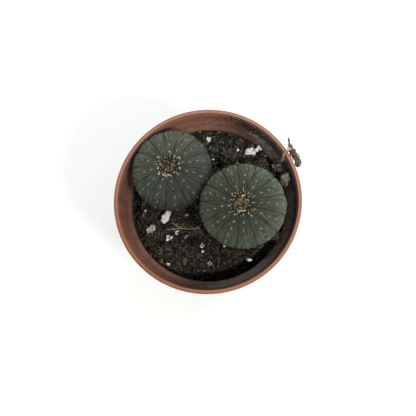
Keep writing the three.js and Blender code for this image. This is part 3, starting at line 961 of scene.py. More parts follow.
def plant_outline(plant):
    """From the root's tip up over the widest part to the sunken crown, about the plant's middle."""
    radius = plant["radius"]
    dome = plant["dome"]
    under = plant["under"]
    neck = plant["neck"]
    root = plant["root"]
    outline = [
        (0, -under - root),
        (0.5, -under - root + 0.15),
        (0.8, -under - root + 0.6),
        (0.22 * neck, -under - 0.68 * root),
        (0.36 * neck, -under - 0.45 * root),
        (0.56 * neck, -under - 5.5),
        (0.72 * neck, -under - 3.5),
        (0.88 * neck, -under - 1.6),
    ]
    for i in range(15):
        share = 1 - i / 15
        outline.append((mix(radius, neck, share**1.4), -share * under))
    for i in range(47):
        angle = math.radians(90 * i / 47)
        out = radius * math.cos(angle) ** 0.92
        sunk = 0.07 * dome * (1 - smooth(out, 0.0, 3.2))
        outline.append((out, dome * math.sin(angle) - sunk))
    outline.append((0, 0.93 * dome))
    return outline


def rib_width(plant, rib):
    """Degrees from one groove to the next."""
    following = plant["ribs"][(rib + 1) % len(plant["ribs"])][0]
    return (following - plant["ribs"][rib][0]) % 360


def gathered(even, plant):
    """Where an even step round the plant goes: its share of the rib, drawn to the grooves."""
    rib = int(even + 1e-6) % len(plant["ribs"])
    share = min(1.0, max(0.0, even - int(even + 1e-6)))
    return share - 0.09 * math.sin(2 * math.pi * share), rib, rib_width(plant, rib)


def plant_place(plant):
    """Leans the plant, stretches it and sets it in the pot."""
    lean_axis = polar(1, plant["lean_towards"] + 90)
    lean = Matrix.Rotation(math.radians(plant["lean"]), 4, lean_axis)
    stretch = Matrix.Diagonal((1, plant["stretch"], 1, 1))
    return Matrix.Translation(plant["centre"]) @ stretch @ lean


def groove_shape(share, width, radius):
    """Depth of the rib's profile from 0 to 1, and how close the point is to the groove, where shade is
    painted, and to its one edge, where a highlight is painted.
    """
    across = abs(2 * share - 1)
    apart = math.radians(width) * radius * (1 - across) / 2
    depth = 0.55 * across**5 + 0.45 * math.exp(-((apart / 0.16) ** 2))
    # Painted highlight on one side of the groove only
    edge = math.exp(-(((apart - 0.3) / 0.12) ** 2)) if share < 0.5 else 0.0
    return depth, math.exp(-((apart / 0.12) ** 2)), edge


class CACTUS_OT_bodies(bpy.types.Operator):
    """Turn each cactus and carve the grooves between its ribs"""

    bl_idname = "cactus.bodies"
    bl_label = "Cactus bodies"

    def execute(self, context):
        settings = context.scene.cactus_plants
        for side, plant in PLANTS.items():
            ribs = len(plant["ribs"])
            bm = bmesh.new()
            turned(bm, plant_outline(plant), ribs * RIB_STEPS)
            marks = {"groove": [], "ridge": [], "corky": []}
            for vert in bm.verts:
                z = vert.co.z
                radius = math.hypot(vert.co.x, vert.co.y)
                even = math.degrees(math.atan2(vert.co.y, vert.co.x)) % 360 * ribs / 360
                share, rib, width = gathered(even, plant)
                spot = polar(radius, plant["ribs"][rib][0] + share * width)
                sway = 1.6 * noise.noise(spot * 0.4 + Vector((0, 0, rib_width(plant, 0))))
                x, y, _ = polar(radius, plant["ribs"][rib][0] + share * width + sway)
                carve, line, edge = groove_shape(share, width, radius)
                reach = radius / plant["radius"]
                risen = smooth(z, -plant["under"], -plant["under"] + 2.5)
                wavy = 1 + 0.45 * noise.noise(Vector((rib * 5.1, radius * 0.35, 2.0)))
                depth = settings.groove_depth / MM * carve * wavy * risen
                depth *= smooth(reach, 0.06, 0.75)
                uneven = 0.09 * noise.noise(Vector((x, y, z)) * 0.45) * risen
                scale = 1 - (depth - min(0.0, uneven)) / radius if radius > 0.3 else 1
                top = smooth(z, 0.0, plant["dome"])
                vert.co = (x * scale, y * scale, z - 0.75 * depth * top)
                # Marks for the shade painted in the grooves and the highlight painted beside them
                marks["groove"].append(line * smooth(reach, 0.1, 0.3))
                marks["ridge"].append(edge * smooth(reach, 0.3, 0.6))
                marks["corky"].append(1 - smooth(z, -0.75 * plant["under"], -0.15 * plant["under"]))
            bmesh.ops.transform(bm, matrix=plant_place(plant), verts=bm.verts)
            finish = skin_finish(settings, plant, f"cactus_skin_{side}")
            node = f"cactus_{side}"
            finish_piece(f"{node}_body", bm, finish, "cactus_skin", [node], marks)
        return {"FINISHED"}


def rib_walk(plant, first, gap):
    """Places along a rib, as (radius, height) pairs, from the first areole to below the rim."""
    outline = list(reversed(plant_outline(plant)))
    spots = []
    left = None
    for (r0, z0), (r1, z1) in zip(outline, outline[1:]):
        length = math.hypot(r1 - r0, z1 - z0)
        if left is None and r1 >= first:
            left = 0.0
        if left is None:
            continue
        while left <= length:
            share = left / length
            spots.append((mix(r0, r1, share), mix(z0, z1, share)))
            left += gap
        left -= length
        if z1 < -0.3 * plant["under"]:
            break
    return spots


def felt_stamp(seed):
    """A small uneven pad of felt."""
    bm = bmesh.new()
    add_lump(bm, seed, 2, lobes=1.9, lobe_depth=0.25, grain=0.2)
    return Stamp(bm)


def spine_stamp(curve):
    """A short stiff spine along +X that bends up by the curve."""
    bm = bmesh.new()
    points = [(0, 0, 0), (0.35, 0, 0.1 + curve * 0.12)]
    points += [(0.7, 0, 0.16 + curve * 0.42), (1, 0, 0.14 + curve)]
    add_strand(bm, points, [0.05, 0.042, 0.028, 0.008], 4)
    return Stamp(bm)


def hair_stamp(seed):
    """A curl of wool."""
    rng = random.Random(seed)
    points = []
    sweep = rng.uniform(2.5, 5.0)
    for i in range(7):
        share = i / 6
        angle = sweep * share
        reach = 0.5 * (1 - 0.35 * share)
        rise = 0.6 * share * rng.uniform(0.7, 1.2)
        points.append((reach * math.cos(angle), reach * math.sin(angle), rise))
    bm = bmesh.new()
    add_strand(bm, points, [0.05, 0.055, 0.05, 0.05, 0.045, 0.04, 0.02], 4)
    return Stamp(bm)


# Spines of an areole: the angle from the rib's line, and the share of the full length
SPINE_FAN = (
    (0, 1.0), (13, 0.8), (-15, 0.85), (180, 0.8), (166, 0.65), (-165, 0.6), (62, 0.5), (-64, 0.5),
)


def set_areole(felt, spines, stamps, surface, point, along, build, rng):
    """Adds one areole: its felt pad, and its spines pressed to the skin in a fan."""
    found, normal = surface.nearest(point)
    along = (along - normal * along.dot(normal)).normalized()
    basis = Matrix((along, normal.cross(along), normal)).transposed().to_quaternion()
    basis @= Euler((0, 0, rng.gauss(0, 0.3))).to_quaternion()
    length = build["length"] * rng.uniform(0.8, 1.25)
    width = build["width"] * rng.uniform(0.8, 1.25)
    size = Vector((length / 2, width / 2, build["height"] * rng.uniform(0.8, 1.2)))
    pad = Matrix.LocRotScale(found + normal * 0.02, basis, size)
    felt.add(rng.choice(stamps["felt"]), pad, build["tint"] + rng.uniform(-0.14, 0.14))
    for degrees, share in SPINE_FAN:
        if rng.random() > build["fullness"]:
            continue
        angle = math.radians(degrees) + rng.gauss(0, 0.15)
        reach = build["spine"] * share * rng.uniform(0.7, 1.15)
        turn = basis @ Euler((0, 0, angle)).to_quaternion()
        size = Vector((reach, build["thick"], reach * build["lift"]))
        root = found + normal * build["height"] * 0.6
        shade = build["spine_tint"] + rng.uniform(-0.2, 0.2)
        spines.add(rng.choice(stamps["spine"]), Matrix.LocRotScale(root, turn, size), shade)


class CACTUS_OT_areoles(bpy.types.Operator):
    """Set the areoles with their spines along the ribs, and the wool in the crowns"""

    bl_idname = "cactus.areoles"
    bl_label = "Areoles, spines and wool"

    def execute(self, context):
        settings = context.scene.cactus_plants
        stamps = {
            "felt": [felt_stamp(seed) for seed in range(5)],
            "spine": [spine_stamp(curve) for curve in (0.0, 0.12, 0.25)],
            "hair": [hair_stamp(seed) for seed in range(6)],
        }
        felt_colours = (
            (0.0, 72, 71, 63), (0.35, 132, 131, 120), (0.6, 138, 129, 100),
            (1.0, 226, 220, 192),
        )
        spine_colours = (
            (0.0, 24, 20, 14), (0.35, 84, 72, 46), (0.65, 156, 138, 92), (0.85, 204, 186, 138),
            (1.0, 166, 164, 150),
        )
        felt_finish = tinted_finish("areole_felt", felt_colours, 0.95, 5.0, 0.5)
        spine_finish = tinted_finish("spine", spine_colours, 0.6, 4.0, 0.3)
        for side, plant in PLANTS.items():
            rng = random.Random(side)
            surface = Surface(f"cactus_{side}_body")
            place = plant_place(plant)
            felt = Heap()
            spines = Heap()
            self.set_ribs(settings, side, plant, place, surface, felt, spines, stamps, rng)
            self.set_crown(settings, side, plant, place, surface, felt, spines, stamps, rng)
            felt.finish(f"cactus_{side}_areoles", felt_finish, "dry_fibre")
            spines.finish(f"cactus_{side}_spines", spine_finish, "dry_fibre")
        return {"FINISHED"}

    def set_ribs(self, settings, side, plant, place, surface, felt, spines, stamps, rng):
        gap = settings.areole_gap / MM
        for i, (groove, first) in enumerate(plant["ribs"]):
            middle = groove + rib_width(plant, i) / 2
            spots = rib_walk(plant, first, gap)
            for step, (radius, height) in enumerate(spots):
                degrees = middle + rng.uniform(-2.0, 2.0)
                point = place @ polar(radius, degrees, height)
                near = place @ polar(radius * 0.97, degrees, height)
                below = place @ polar(radius, degrees, height - 0.5)
                along = (point - near).normalized() + (below - point).normalized() * 0.5
                age = step / max(1, len(spots) - 1)
                build = {
                    "length": mix(0.4, 0.52, age) * rng.uniform(0.6, 1.3),
                    "width": mix(0.2, 0.28, age),
                    "height": 0.12,
                    "spine": settings.spine_length / MM * mix(0.85, 1.1, age),
                    "lift": 0.35,
                }
                if side == "right":
                    build["tint"] = rng.choice((0.25, 0.4, 0.55, 0.75))
                    build.update(fullness=0.85, thick=1.1, spine_tint=mix(0.75, 0.58, age))
                else:
                    build["tint"] = mix(0.6, 0.2, min(1.0, 3 * age))
                    build.update(fullness=0.7, thick=0.9, spine_tint=mix(0.9, 1.1, age))
                set_areole(felt, spines, stamps, surface, point, along, build, rng)

    def set_crown(self, settings, side, plant, place, surface, felt, spines, stamps, rng):
        """Curls of wool, dark and golden, fill the middle, with felt pads on them and round them."""
        top = place @ Vector((0, 0, plant["dome"]))
        for i in range(settings.crown_curls):
            dark = i % (5 if side == "left" else 3) > 0
            reach = 3.1 if dark else 2.1
            spot = top + polar(reach * math.sqrt(rng.random()), rng.uniform(0, 360))
            found, normal = surface.nearest(spot)
            size = rng.uniform(0.5, 0.95)
            where = lie(found, normal, any_yaw(rng), (size, size, size * 0.8), 0.02, 0.2)
            tint = rng.uniform(0.0, 0.16) if dark else rng.uniform(0.55, 0.95)
            spines.add(rng.choice(stamps["hair"]), where, tint)
        count = 54 if side == "left" else 42
        for i in range(count):
            share = (i + 0.6) / count
            radius = mix(0.4, 3.7, share**0.6) if side == "left" else mix(0.9, 3.8, share**0.5)
            degrees = GOLDEN_ANGLE * i + rng.uniform(-9, 9)
            young = radius < 2.0
            point = top + polar(radius, degrees)
            build = {
                "length": mix(0.22, 0.36, share) * rng.uniform(0.6, 1.4),
                "width": mix(0.18, 0.26, share),
                "height": mix(0.34, 0.2, share),
                "tint": rng.uniform(0.3, 0.95) if young else rng.uniform(0.5, 1.0),
                "fullness": 0.6,
                "spine": settings.spine_length / MM * mix(0.5, 0.85, share),
                "thick": 1.0,
                "spine_tint": rng.uniform(0.0, 0.6) if young else rng.uniform(0.3, 0.85),
                "lift": mix(1.2, 0.7, share),
            }
            set_areole(felt, spines, stamps, surface, point, polar(1, degrees), build, rng)
        for x, y, length, width in CROWN_PADS[side]:
            found, normal = surface.nearest(top + Vector((x, y, 0)))
            size = (0.38 * length, 0.33 * width, 0.28)
            where = lie(found + normal * 0.16, normal, rng.uniform(-0.3, 0.3), size)
            felt.add(rng.choice(stamps["felt"]), where, rng.uniform(0.85, 1.0))
            for _ in range(4):
                size = rng.uniform(0.35, 0.6)
                where = lie(found + normal * 0.2, normal, any_yaw(rng), (size, size, size))
                spines.add(rng.choice(stamps["hair"]), where, rng.uniform(0.6, 0.9))


# Loose pieces


# Looks of the white lumps by number: how many puffs, how stained, and the side with a hollow
PERLITE_LOOKS = {
    1: (7, 0.0, None),
    2: (3, 0.15, None),
    3: (1, 0.0, None),
    4: (3, 0.12, None),
    5: (3, 0.62, None),
    6: (4, 0.3, (-0.1, 0.1, 1.0)),
    7: (4, 0.0, None),
    8: (5, 0.0, (0.2, 0.1, 1.0)),
    9: (1, 0.0, None),
    10: (3, 0.5, None),
    11: (5, 0.4, (-0.1, 0.2, 1.0)),
    12: (3, 0.25, None),
    13: (2, 0.3, None),
    14: (1, 0.2, None),
    15: (2, 0.1, None),
    16: (2, 0.2, None),
}
# Puffs of the lumps whose form shows: place in the pot, and radius
PLACED_PUFFS = {
    1: (
        (12.2, 16.2, 44.4, 1.2), (13.6, 15.8, 44.5, 0.85), (13.2, 16.9, 44.6, 0.7),
        (14.7, 16.6, 44.7, 0.7), (15.4, 17.5, 44.9, 0.6), (16.0, 16.9, 44.6, 0.45),
        (11.3, 15.7, 44.0, 0.55),
    ),
    7: (
        (-9.1, -8.2, 43.5, 0.3), (-9.6, -8.35, 43.5, 0.3), (-9.75, -8.75, 43.5, 0.28),
        (-9.35, -9.05, 43.5, 0.26),
    ),
    16: (
        (-6.4, -9.6, 43.4, 0.26), (-6.6, -9.85, 43.35, 0.12), (-6.9, -10.15, 43.4, 0.2),
    ),
    4: (
        (-12.9, -4.4, 44.3, 1.35), (-13.5, -5.3, 44.1, 1.0), (-12.2, -3.2, 44.4, 1.05),
    ),
}


class CACTUS_OT_perlite(bpy.types.Operator):
    """Puff up the sixteen white lumps, each from a few puffs, some with a hollow"""

    bl_idname = "cactus.perlite"
    bl_label = "Perlite"

    def execute(self, context):
        settings = context.scene.cactus_lumps
        finish = glass_rock_finish(settings)
        for number, (puffs, stain, hollow) in PERLITE_LOOKS.items():
            node = f"perlite_{number:02d}"
            low, high = node_box(node)
            bm = bmesh.new()
            if number in PLACED_PUFFS:
                middles = PLACED_PUFFS[number]
            else:
                middles = self.scatter_puffs(puffs, random.Random(number))
            for i, (x, y, z, radius) in enumerate(middles):
                crumpled = number in (4, 5)
                lobes, lobe_depth, grain = (3.2, 0.6, 0.34) if crumpled else (2.3, 0.5, 0.16)
                puff = add_lump(bm, 10 * number + i, 4, lobes, lobe_depth, grain)
                if crumpled:
                    break_flats(puff, number, 6, 0.72)
                for vert in puff:
                    vert.co = Vector((x, y, z)) + vert.co * radius
            fit_box(bm.verts, low, high)
            if hollow:
                self.press_hollow(bm, Vector(hollow), low, high)
            shade = self.crease_marks(bm, low, high)
            marks = {"pit": shade, "stain": [stain] * len(shade)}
            finish_piece(node + "_lump", bm, finish, "perlite", [node], marks)
        return {"FINISHED"}

    def scatter_puffs(self, count, rng):
        """Puffs that touch, round a middle one."""
        puffs = [(0.0, 0.0, 0.0, 0.8 if count > 1 else 1.0)]
        for i in range(count - 1):
            way = polar(0.75, 360 * i / (count - 1) + rng.uniform(-25, 25), rng.uniform(-0.3, 0.45))
            puffs.append((*way, rng.uniform(0.35, 0.6)))
        return puffs

    def press_hollow(self, bm, way, low, high):
        """Sinks the side of the lump that faces the way."""
        way.normalize()
        middle = (low + high) / 2
        half = (high - low) / 2
        for vert in bm.verts:
            share = box_share(vert.co, middle, half)
            along = share.dot(way)
            aside = (share - way * along).length
            if along > 0:
                sunk = 0.95 * along * (1 - smooth(aside, 0.3, 0.66))
                vert.co -= Vector([way[axis] * sunk * half[axis] for axis in range(3)])

    def crease_marks(self, bm, low, high):
        """1 where a point lies deep in the lump, where soil gathers, and 0 on its crests."""
        middle = (low + high) / 2
        half = (high - low) / 2
        marks = []
        for vert in bm.verts:
            share = box_share(vert.co, middle, half)
            marks.append(0.85 * (1 - smooth(share.length, 0.25, 0.6)))
        return marks


class CACTUS_OT_grit(bpy.types.Operator):
    """Make the quartz pebble, the bark chip and the seed husk"""

    bl_idname = "cactus.grit"
    bl_label = "Pebble, bark and husk"

    def execute(self, context):
        lumps = context.scene.cactus_lumps
        husk_tones = (paint(142, 136, 88), paint(204, 198, 146))
        bark_tones = (paint(66, 54, 40), paint(104, 88, 66))
        pieces = (
            ("grit_pebble", 5, 1.5, 0.3, 0.16, stone_finish(lumps), "stone"),
            ("bark_chip", 4, 1.2, 0.3, 0.14, wood_finish("bark", *bark_tones, 3.0), "dry_fibre"),
            ("seed_husk", 4, 1.6, 0.3, 0.05, wood_finish("seed_husk", *husk_tones, 4.0), "dry_fibre"),
        )
        for seed, (node, cuts, lobes, lobe_depth, grain, finish, slot) in enumerate(pieces):
            bm = bmesh.new()
            ball = add_lump(bm, 60 + seed, cuts, lobes, lobe_depth, grain)
            if node == "grit_pebble":
                break_flats(ball, 5, 14, 0.74)
            fit_box(ball, *node_box(node))
            finish_piece(node + "_detail", bm, finish, slot, [node])
        return {"FINISHED"}


def fibre_stamp(seed):
    """A thin bent fibre of unit length along X."""
    rng = random.Random(seed)
    side = rng.uniform(-0.35, 0.35)
    lift = rng.uniform(0.02, 0.16)
    kink = rng.uniform(-0.08, 0.08)
    points = []
    for i in range(6):
        share = i / 5
        arch = 4 * share * (1 - share)
        wobble = kink * math.sin(share * 9)
        points.append((share - 0.5, side * arch + wobble, lift * arch - 0.03))
    radii = [0.02 * (1 - 0.6 * abs(2 * i / 5 - 1) ** 3) for i in range(6)]
    bm = bmesh.new()
    add_strand(bm, points, radii, 3)
    return Stamp(bm)


def curl_stamp(seed):
    """A thin fibre curled to about unit size."""
    rng = random.Random(seed)
    sweep = rng.uniform(1.2, 3.6)
    tighter = rng.uniform(0.0, 0.5)
    points = []
    for i in range(9):
        share = i / 8
        reach = 1 - tighter * share
        rise = rng.uniform(-0.1, 0.3) * math.sin(math.pi * share)
        points.append(polar(reach, math.degrees(sweep * share), rise) - Vector((0.5, 0.3, 0)))
    bm = bmesh.new()
    add_strand(bm, points, [0.03, 0.045, 0.05, 0.05, 0.05, 0.05, 0.045, 0.035, 0.02], 3)
    return Stamp(bm)


def crumb_stamp(seed, cuts=1, flat=1.0):
    """A crumb with uneven faces."""
    rng = random.Random(seed)
    bm = bmesh.new()
    for vert in bmesh.ops.create_icosphere(bm, subdivisions=cuts, radius=1.0)["verts"]:
        vert.co *= rng.uniform(0.68, 1.12)
        vert.co.z *= flat
    return Stamp(bm)


PEAT_TONES = (
    (0.0, 12, 12, 11), (0.45, 34, 32, 28), (0.8, 84, 78, 67), (1.0, 160, 150, 130),
)
FIBRE_TONES = (
    (0.0, 20, 18, 15), (0.5, 60, 55, 46), (0.8, 112, 104, 90), (1.0, 178, 170, 152),
)
SPECK_TONES = (
    (0.0, 96, 86, 72), (0.5, 146, 134, 114), (1.0, 214, 208, 198),
)
CLOD_TONES = (
    (0.0, 28, 28, 26), (0.5, 82, 82, 75), (0.85, 148, 145, 134), (1.0, 214, 211, 204),
)
TANGLE_TONES = (
    (0.0, 34, 29, 23), (0.45, 74, 64, 50), (0.8, 116, 102, 82), (1.0, 164, 150, 126),
)
TUFT_TONES = (
    (0.0, 58, 50, 40), (0.4, 96, 84, 68), (0.8, 146, 132, 110), (1.0, 206, 194, 170),
)


class CACTUS_OT_tangles(bpy.types.Operator):
    """Wind the tangles of fibre, the clod, the dry tuft on the rim and the root on the soil"""

    bl_idname = "cactus.tangles"
    bl_label = "Tangles, clod, rim tuft and root"

    def execute(self, context):
        self.wind("fibre_lump_back", TANGLE_TONES, 71, 170, "dry_fibre", "tangle")
        self.wind("fibre_lump_front", TANGLE_TONES, 72, 150, "dry_fibre", "tangle")
        self.wind("soil_clod", CLOD_TONES, 73, 170, "peat", "detail")
        self.tie_tuft()
        self.lay_root()
        return {"FINISHED"}

    def wind(self, node, tones, seed, fibres, slot, ending):
        """A crumbly core with fibres and grains round it, inside the node's box."""
        rng = random.Random(seed)
        low, high = node_box(node)
        middle = (low + high) / 2
        half = (high - low) / 2
        heap = Heap()
        core = bmesh.new()
        fit_box(add_lump(core, seed, 4, 2.6, 0.5, 0.3), middle - half * 0.8, middle + half * 0.8)
        heap.add_shape(core, 0.12)
        stamps = [fibre_stamp(seed * 10 + i) for i in range(6)]
        stamps += [curl_stamp(seed * 10 + i) for i in range(4)]
        crumbs = [crumb_stamp(seed * 10 + i) for i in range(4)]
        for _ in range(fibres):
            way = any_way(rng, 0.2)
            reach = rng.uniform(0.7, 0.95)
            spot = box_point(way, middle, half, reach)
            length = rng.uniform(0.5, 1.3)
            thick = rng.uniform(0.9, 2.2)
            where = lie(spot, way, any_yaw(rng), (length, thick, thick), 0.02, rng.uniform(-0.3, 0.3))
            heap.add(rng.choice(stamps), where, rng.random() ** 1.2)
            grain = rng.uniform(0.07, 0.24)
            where = lie(spot, way, any_yaw(rng), (grain, grain * rng.uniform(0.6, 1.2), grain))
            heap.add(rng.choice(crumbs), where, rng.random() ** 1.8)
        if node == "soil_clod":
            grain = (0.2, 0.2, 0.16)
            heap.add(crumbs[0], lie(Vector((20.9, 11.1, high.z)), UP, 0.0, grain), 1.0)
            heap.add(crumbs[1], lie(Vector((21.05, 11.0, high.z)), UP, 1.0, grain), 1.0)
        finish = tinted_finish(f"dry_{node}", tones, 0.9, 3.0, 0.8)
        heap.finish(f"{node}_{ending}", finish, slot, [node])

    def tie_tuft(self):
        """Crumbly lumps outside the rim, a spike, and a strand over the lip."""
        rng = random.Random(91)
        cover = 90
        heap = Heap()
        stamps = [fibre_stamp(910 + i) for i in range(8)]
        crumbs = [crumb_stamp(920 + i) for i in range(5)]
        for seed, (centre, size) in enumerate(TUFT_LUMPS):
            half = Vector(size) * 0.43
            middle = Vector(centre)
            bm = bmesh.new()
            core = half * 0.78
            fit_box(add_lump(bm, 93 + seed, 4, 2.8, 0.55, 0.35), middle - core, middle + core)
            heap.add_shape(bm, 0.15)
            for _ in range(cover):
                way = any_way(rng, 0.3)
                spot = box_point(way, middle, half, 0.92)
                thick = rng.uniform(1.0, 2.6)
                size = (rng.uniform(0.5, 1.2), thick, thick)
                where = lie(spot, way, any_yaw(rng), size, 0.02, rng.uniform(-0.4, 0.4))
                heap.add(rng.choice(stamps), where, rng.random() ** 0.9)
                grain = rng.uniform(0.1, 0.3)
                where = lie(spot, way, any_yaw(rng), (grain, grain * 0.8, grain), 0.0)
                heap.add(rng.choice(crumbs), where, 0.1 + 0.8 * rng.random())
        for x, y in ((23.75, 14.75), (24.0, 15.0), (23.8, 14.4), (24.3, 14.6)):
            grain = rng.uniform(0.18, 0.3)
            place = lie(Vector((x, y, 50.75)), UP, any_yaw(rng), (grain * 1.5, grain, grain))
            heap.add(rng.choice(crumbs), place, 1.0)
        for route, radii, tint in (
            (TUFT_SPIKE, (0.36, 0.2, 0.04), 0.3),
            (TUFT_STRAND, (0.14, 0.14, 0.2, 0.36, 0.4, 0.16), 0.75),
        ):
            bm = bmesh.new()
            add_strand(bm, route, radii, 8)
            bmesh.ops.subdivide_edges(bm, edges=bm.edges, cuts=1, smooth=0.6, use_grid_fill=True)
            heap.add_shape(bm, tint)
            for start, end in list(zip(route, route[1:]))[-3:]:
                for _ in range(12):
                    spot = Vector(start).lerp(Vector(end), rng.random())
                    along = Vector(end) - Vector(start)
                    yaw = math.atan2(along.y, along.x) + rng.uniform(-0.5, 0.5)
                    size = (rng.uniform(0.4, 0.9), 1.8, 1.8)
                    shift = Vector((rng.gauss(0, 0.16), rng.gauss(0, 0.16), 0.12))
                    stamp = rng.choice(stamps)
                    heap.add(stamp, lie(spot + shift, UP, yaw, size), 0.3 + 0.7 * rng.random())
        finish = tinted_finish("dry_tuft", TUFT_TONES, 0.9, 3.0, 0.9)
        heap.finish("rim_crumb_tuft", finish, "dry_fibre", ["rim_crumb"])

    def lay_root(self):
        """The tan root with knots and hair roots, and its side branch."""
        finish = wood_finish("root_bark", paint(118, 108, 82), paint(186, 176, 146), 3.0)
        # Noise vectors are drawn afresh at every start unless they are given a seed
        noise.seed_set(17)
        bm = bmesh.new()
        for route, thick, thin in ((ROOT_ROUTE, 0.15, 0.07), (ROOT_BRANCH, 0.07, 0.11)):
            points = []
            radii = []
            pieces = 5
            for i, (start, end) in enumerate(zip(route, route[1:])):
                for step in range(pieces):
                    share = (i + step / pieces) / (len(route) - 1)
                    spot = Vector(start).lerp(Vector(end), step / pieces)
                    knot = noise.noise_vector(spot * 1.1)
                    points.append(spot + Vector((knot.x, knot.y, 0.3 * knot.z)) * 0.14)
                    radii.append(mix(thick, thin, share) * (1 + 0.25 * noise.noise(spot * 2.3)))
            add_strand(bm, points, radii, 8)
        rng = random.Random(17)
        hair_roots = 14
        for _ in range(hair_roots):
            start = Vector(rng.choice(ROOT_ROUTE))
            way = polar(1, rng.uniform(0, 360), 0)
            spots = [start + way * 0.5 * i + UP * (0.05 - 0.1 * i) for i in range(4)]
            add_strand(bm, spots, (0.06, 0.05, 0.04, 0.02), 5)
        finish_piece("root_fibre_detail", bm, finish, "dry_fibre", ["root_fibre"])


class CACTUS_OT_litter(bpy.types.Operator):
    """Strew crumbs, fibres and pale specks over the soil, and peat crumbs over the collar"""

    bl_idname = "cactus.litter"
    bl_label = "Soil litter"

    def execute(self, context):
        settings = context.scene.cactus_soil
        ground = Surface("soil_bed")
        rng = random.Random(2024)
        self.strew_crumbs(settings, ground, rng)
        self.strew_clods(settings, ground, rng)
        self.strew_fibres(settings, ground, rng)
        self.strew_specks(settings, ground, rng)
        self.spill_crumbs(settings, rng)
        self.soil_the_collar(settings, rng)
        return {"FINISHED"}

    def on_soil(self, place):
        """Whether a place lies on the soil, clear of the roots."""
        for plant in PLANTS.values():
            x, y, _ = plant["centre"]
            if math.hypot(place.x - x, place.y - y) < plant["neck"] - 0.3:
                return False
        edge = soil_edge(math.degrees(math.atan2(place.y, place.x)))
        return math.hypot(place.x, place.y) < edge - 0.15

    def in_hole(self, place):
        """Whether a place lies in one of the dark holes, where few large things lie."""
        return any(math.hypot(place.x - x, place.y - y) < 0.75 * reach for x, y, reach, _ in SOIL_HOLES)

    def spot(self, rng):
        """A random place on the soil."""
        while True:
            place = polar(SOIL_RADIUS * math.sqrt(rng.random()), rng.uniform(0, 360))
            if self.on_soil(place):
                return place

    def spots(self, ground, rng, count, clear=False):
        """Random places on the soil, clear of its holes if need be: number, point and normal."""
        for i in range(count):
            place = self.spot(rng)
            found, normal = ground.below(place.x, place.y)
            if found is not None and not (clear and self.in_hole(place)):
                yield i, found, normal

    def strew_crumbs(self, settings, ground, rng):
        small = [crumb_stamp(i, 1) for i in range(8)]
        large = [crumb_stamp(20 + i, 2) for i in range(6)]
        heap = Heap()
        for i, found, normal in self.spots(ground, rng, settings.crumbs):
            big = i % 9 == 0
            size = rng.uniform(0.28, 0.55) if big else rng.uniform(0.1, 0.3)
            shape = (size, size * rng.uniform(0.7, 1.2), size * rng.uniform(0.5, 0.9))
            where = lie(found, normal, any_yaw(rng), shape, size * 0.15, rng.uniform(-0.5, 0.5))
            tint = rng.random() ** 1.6
            heap.add(rng.choice(large if big else small), where, 0.7 * tint if big else tint)
        finish = tinted_finish("peat_crumbs", PEAT_TONES, 0.9, 2.5, 0.7, 0.15)
        heap.finish("soil_crumbs", finish, "peat")

    def strew_clods(self, settings, ground, rng):
        """Small clods of grains that hold together, with shade between them."""
        stamps = [crumb_stamp(140 + i, 2) for i in range(4)]
        heap = Heap()
        for _, found, normal in self.spots(ground, rng, settings.clods, True):
            size = rng.uniform(0.4, 0.95)
            shape = (size, size * rng.uniform(0.6, 1.0), size * rng.uniform(0.5, 0.8))
            where = lie(found, normal, any_yaw(rng), shape, size * 0.2, rng.uniform(-0.6, 0.6))
            heap.add(rng.choice(stamps), where, 0.25 + 0.5 * rng.random() ** 1.5)
        finish = tinted_finish("peat_clods", PEAT_TONES, 0.95, 1.6, 0.9, 0.1)
        heap.finish("soil_clods", finish, "peat")

    def strew_fibres(self, settings, ground, rng):
        stamps = [fibre_stamp(40 + i) for i in range(10)]
        curls = [curl_stamp(240 + i) for i in range(8)]
        heap = Heap()
        for i in range(settings.curls):
            if i % 4:
                x, y, reach = rng.choice(FIBRE_SWIRLS)
                place = Vector((x + rng.gauss(0, 0.5) * reach, y + rng.gauss(0, 0.42) * reach, 0))
            else:
                place = self.spot(rng)
            found, normal = ground.below(place.x, place.y)
            if found is None or not self.on_soil(place):
                continue
            size = rng.uniform(0.35, 1.0)
            thick = rng.uniform(0.7, 1.1)
            raised = found + normal * 0.22
            where = lie(raised, normal, any_yaw(rng), (size, size, thick), 0.0, rng.gauss(0, 0.3))
            heap.add(rng.choice(curls), where, 0.55 + 0.45 * rng.random() ** 1.6)
        for _, found, normal in self.spots(ground, rng, settings.fibres, True):
            length = rng.uniform(0.8, 2.4) * (1.6 if rng.random() < 0.08 else 1.0)
            thick = rng.uniform(1.2, 3.2)
            tilt = rng.uniform(-0.25, 0.25)
            where = lie(found + normal * 0.1, normal, any_yaw(rng), (length, thick, thick), 0.0, tilt)
            heap.add(rng.choice(stamps), where, rng.random() ** 1.5)
        finish = tinted_finish("peat_fibres", FIBRE_TONES, 0.85, 2.0, 0.6, 0.2)
        heap.finish("soil_fibres", finish, "dry_fibre")

    def strew_specks(self, settings, ground, rng):
        stamps = [crumb_stamp(60 + i, 1, 0.7) for i in range(5)]
        heap = Heap()
        for _, found, normal in self.spots(ground, rng, settings.specks):
            size = rng.uniform(0.07, 0.17)
            where = lie(found + normal * 0.12, normal, any_yaw(rng), (size * 1.4, size, size))
            heap.add(rng.choice(stamps), where, rng.random() ** 2.2)
        for x, y, size in LONE_SPECKS:
            found, normal = ground.below(x, y)
            where = lie(found + normal * 0.2, normal, 0.4, (size * 1.4, size * 0.8, size * 0.7))
            heap.add(rng.choice(stamps), where, 1.0)
        finish = tinted_finish("pale_specks", SPECK_TONES, 0.85, 4.0, 0.3)
        heap.finish("soil_specks", finish, "perlite")

